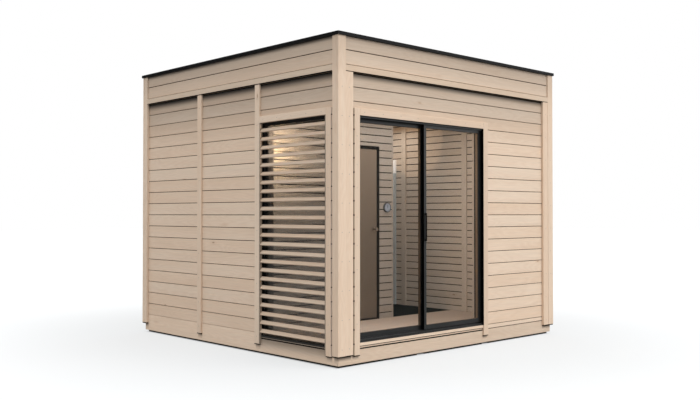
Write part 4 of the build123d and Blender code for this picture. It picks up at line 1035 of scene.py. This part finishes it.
def stage():
    """Floor and sky. The sky is white where it is seen. The floor's glow is weaker near the cabin, painted
    shade round it. Gloss mirrors a sky that is bright before the door and dark beyond the far end of the
    louvre."""
    f = Finish("studio_floor")
    seen = f.node("ShaderNodeLightPath", {}, {}, "Is Camera Ray")
    dull = f.node("ShaderNodeBsdfDiffuse", {}, {"Color": (0.245, 0.25, 0.255, 1)})
    here = f.place()
    # Painted shade: the glow rises from 2.3 m to 5 m from the middle, so the floor round the cabin stays
    # darker.
    far = f.step((here.part(0) ** 2 + here.part(1) ** 2) ** 0.5, 2.3, 5.0)
    edge = (here.part(0) * here.part(0)).math("MAXIMUM", here.part(1) * here.part(1))
    clear = f.step(edge, 1.58 ** 2, 1.68 ** 2)
    lift = f.node("ShaderNodeEmission", {}, {"Color": (0.98, 0.995, 1, 1),
                                             "Strength": seen * (0.63 + far * 0.12) * clear})
    material = f.node_out(f.node("ShaderNodeAddShader", {}, {0: dull, 1: lift}))
    mesh = bpy.data.meshes.new("studio_floor")
    reach = 60.0
    mesh.from_pydata([(-reach, -reach, 0), (reach, -reach, 0), (reach, reach, 0), (-reach, reach, 0)], [],
                     [(0, 1, 2, 3)])
    mesh.materials.append(material)
    ground = bpy.data.objects.new("studio_floor", mesh)
    ground.location = (0, 0, -0.0005)
    bpy.context.scene.collection.objects.link(ground)

    world = bpy.data.worlds.new("studio")
    bpy.context.scene.world = world
    f = Finish("sky", world)
    way = f.node("ShaderNodeTexCoord", {}, {}, "Generated")
    seen = f.node("ShaderNodeLightPath", {}, {}, "Is Camera Ray")
    mirrored = f.node("ShaderNodeLightPath", {}, {}, "Is Glossy Ray")
    before = f.step(way.part(0) - way.part(1), -0.5, 0.8)
    level = SKY_LIGHT + mirrored * (before - SKY_LIGHT)
    level = level + seen * (1.0 - level)
    glow = f.node("ShaderNodeBackground", {}, {"Color": (1, 1, 1, 1), "Strength": level})
    f.node_out(glow, "ShaderNodeOutputWorld")


def lights():
    """The sun from the front right, the rooms' own light, and the warm light in the corners of the front room
    and over the wet space."""
    lamp("front_right_sun", "SUN", (3, -7, 6), (0, 0, 0), 1.15, (1.0, 0.985, 0.96), angle=math.radians(40))
    lamp("front_room_lamp", "AREA", (-0.05, -0.82, 2.50), (-0.05, -0.82, 0.0), 11, (1.0, 0.98, 0.95),
         shape="RECTANGLE", size=2.0, size_y=0.6)
    lamp("front_room_fill", "AREA", (0.0, -1.38, 1.10), (0.25, -0.30, 1.10), 4, (1.0, 0.97, 0.93),
         shape="RECTANGLE", size=1.6, size_y=1.5)
    lamp("upper_room_lamp", "POINT", (0.55, -0.80, 1.95), (0, 0, 0), 3.0, (1.0, 0.93, 0.86),
         shadow_soft_size=0.3)
    lamp("wet_space_lamp", "AREA", (1.05, 0.75, 2.50), (1.05, 0.75, 0.0), 5.5, (1.0, 0.96, 0.90),
         shape="RECTANGLE", size=0.6, size_y=1.2)
    lamp("partition_glow", "POINT", (-1.30, -0.46, 2.00), (0, 0, 0), 12, (1.0, 0.78, 0.46),
         shadow_soft_size=0.05)
    lamp("partition_wash", "SPOT", (-1.32, -0.80, 2.15), (-1.32, -0.30, 2.12), 50, (1.0, 0.85, 0.70),
         shadow_soft_size=0.05, spot_size=math.radians(165), spot_blend=0.6)
    lamp("wall_glow", "SPOT", (0.75, 0.29, 2.31), (1.515, 0.29, 2.31), 6.0, (1.0, 0.68, 0.40),
         shadow_soft_size=0.01, spot_size=math.radians(64), spot_blend=0.05)


sight("camera", (-6.7486, -7.2339, 1.3757), 43.279, 0.926, 43.67)
stage()
lights()
finishes()
dress_nodes()
outer_boards()
skirt()
drip_and_fascia()
corners_and_battens()
door_surround()
louvre_screen()
wall_linings()
ceiling_boards()
partitions()
planking()
metal_frames()
fittings()
screws()
roof()
packers()

bpy.context.scene.view_settings.view_transform = "Standard"
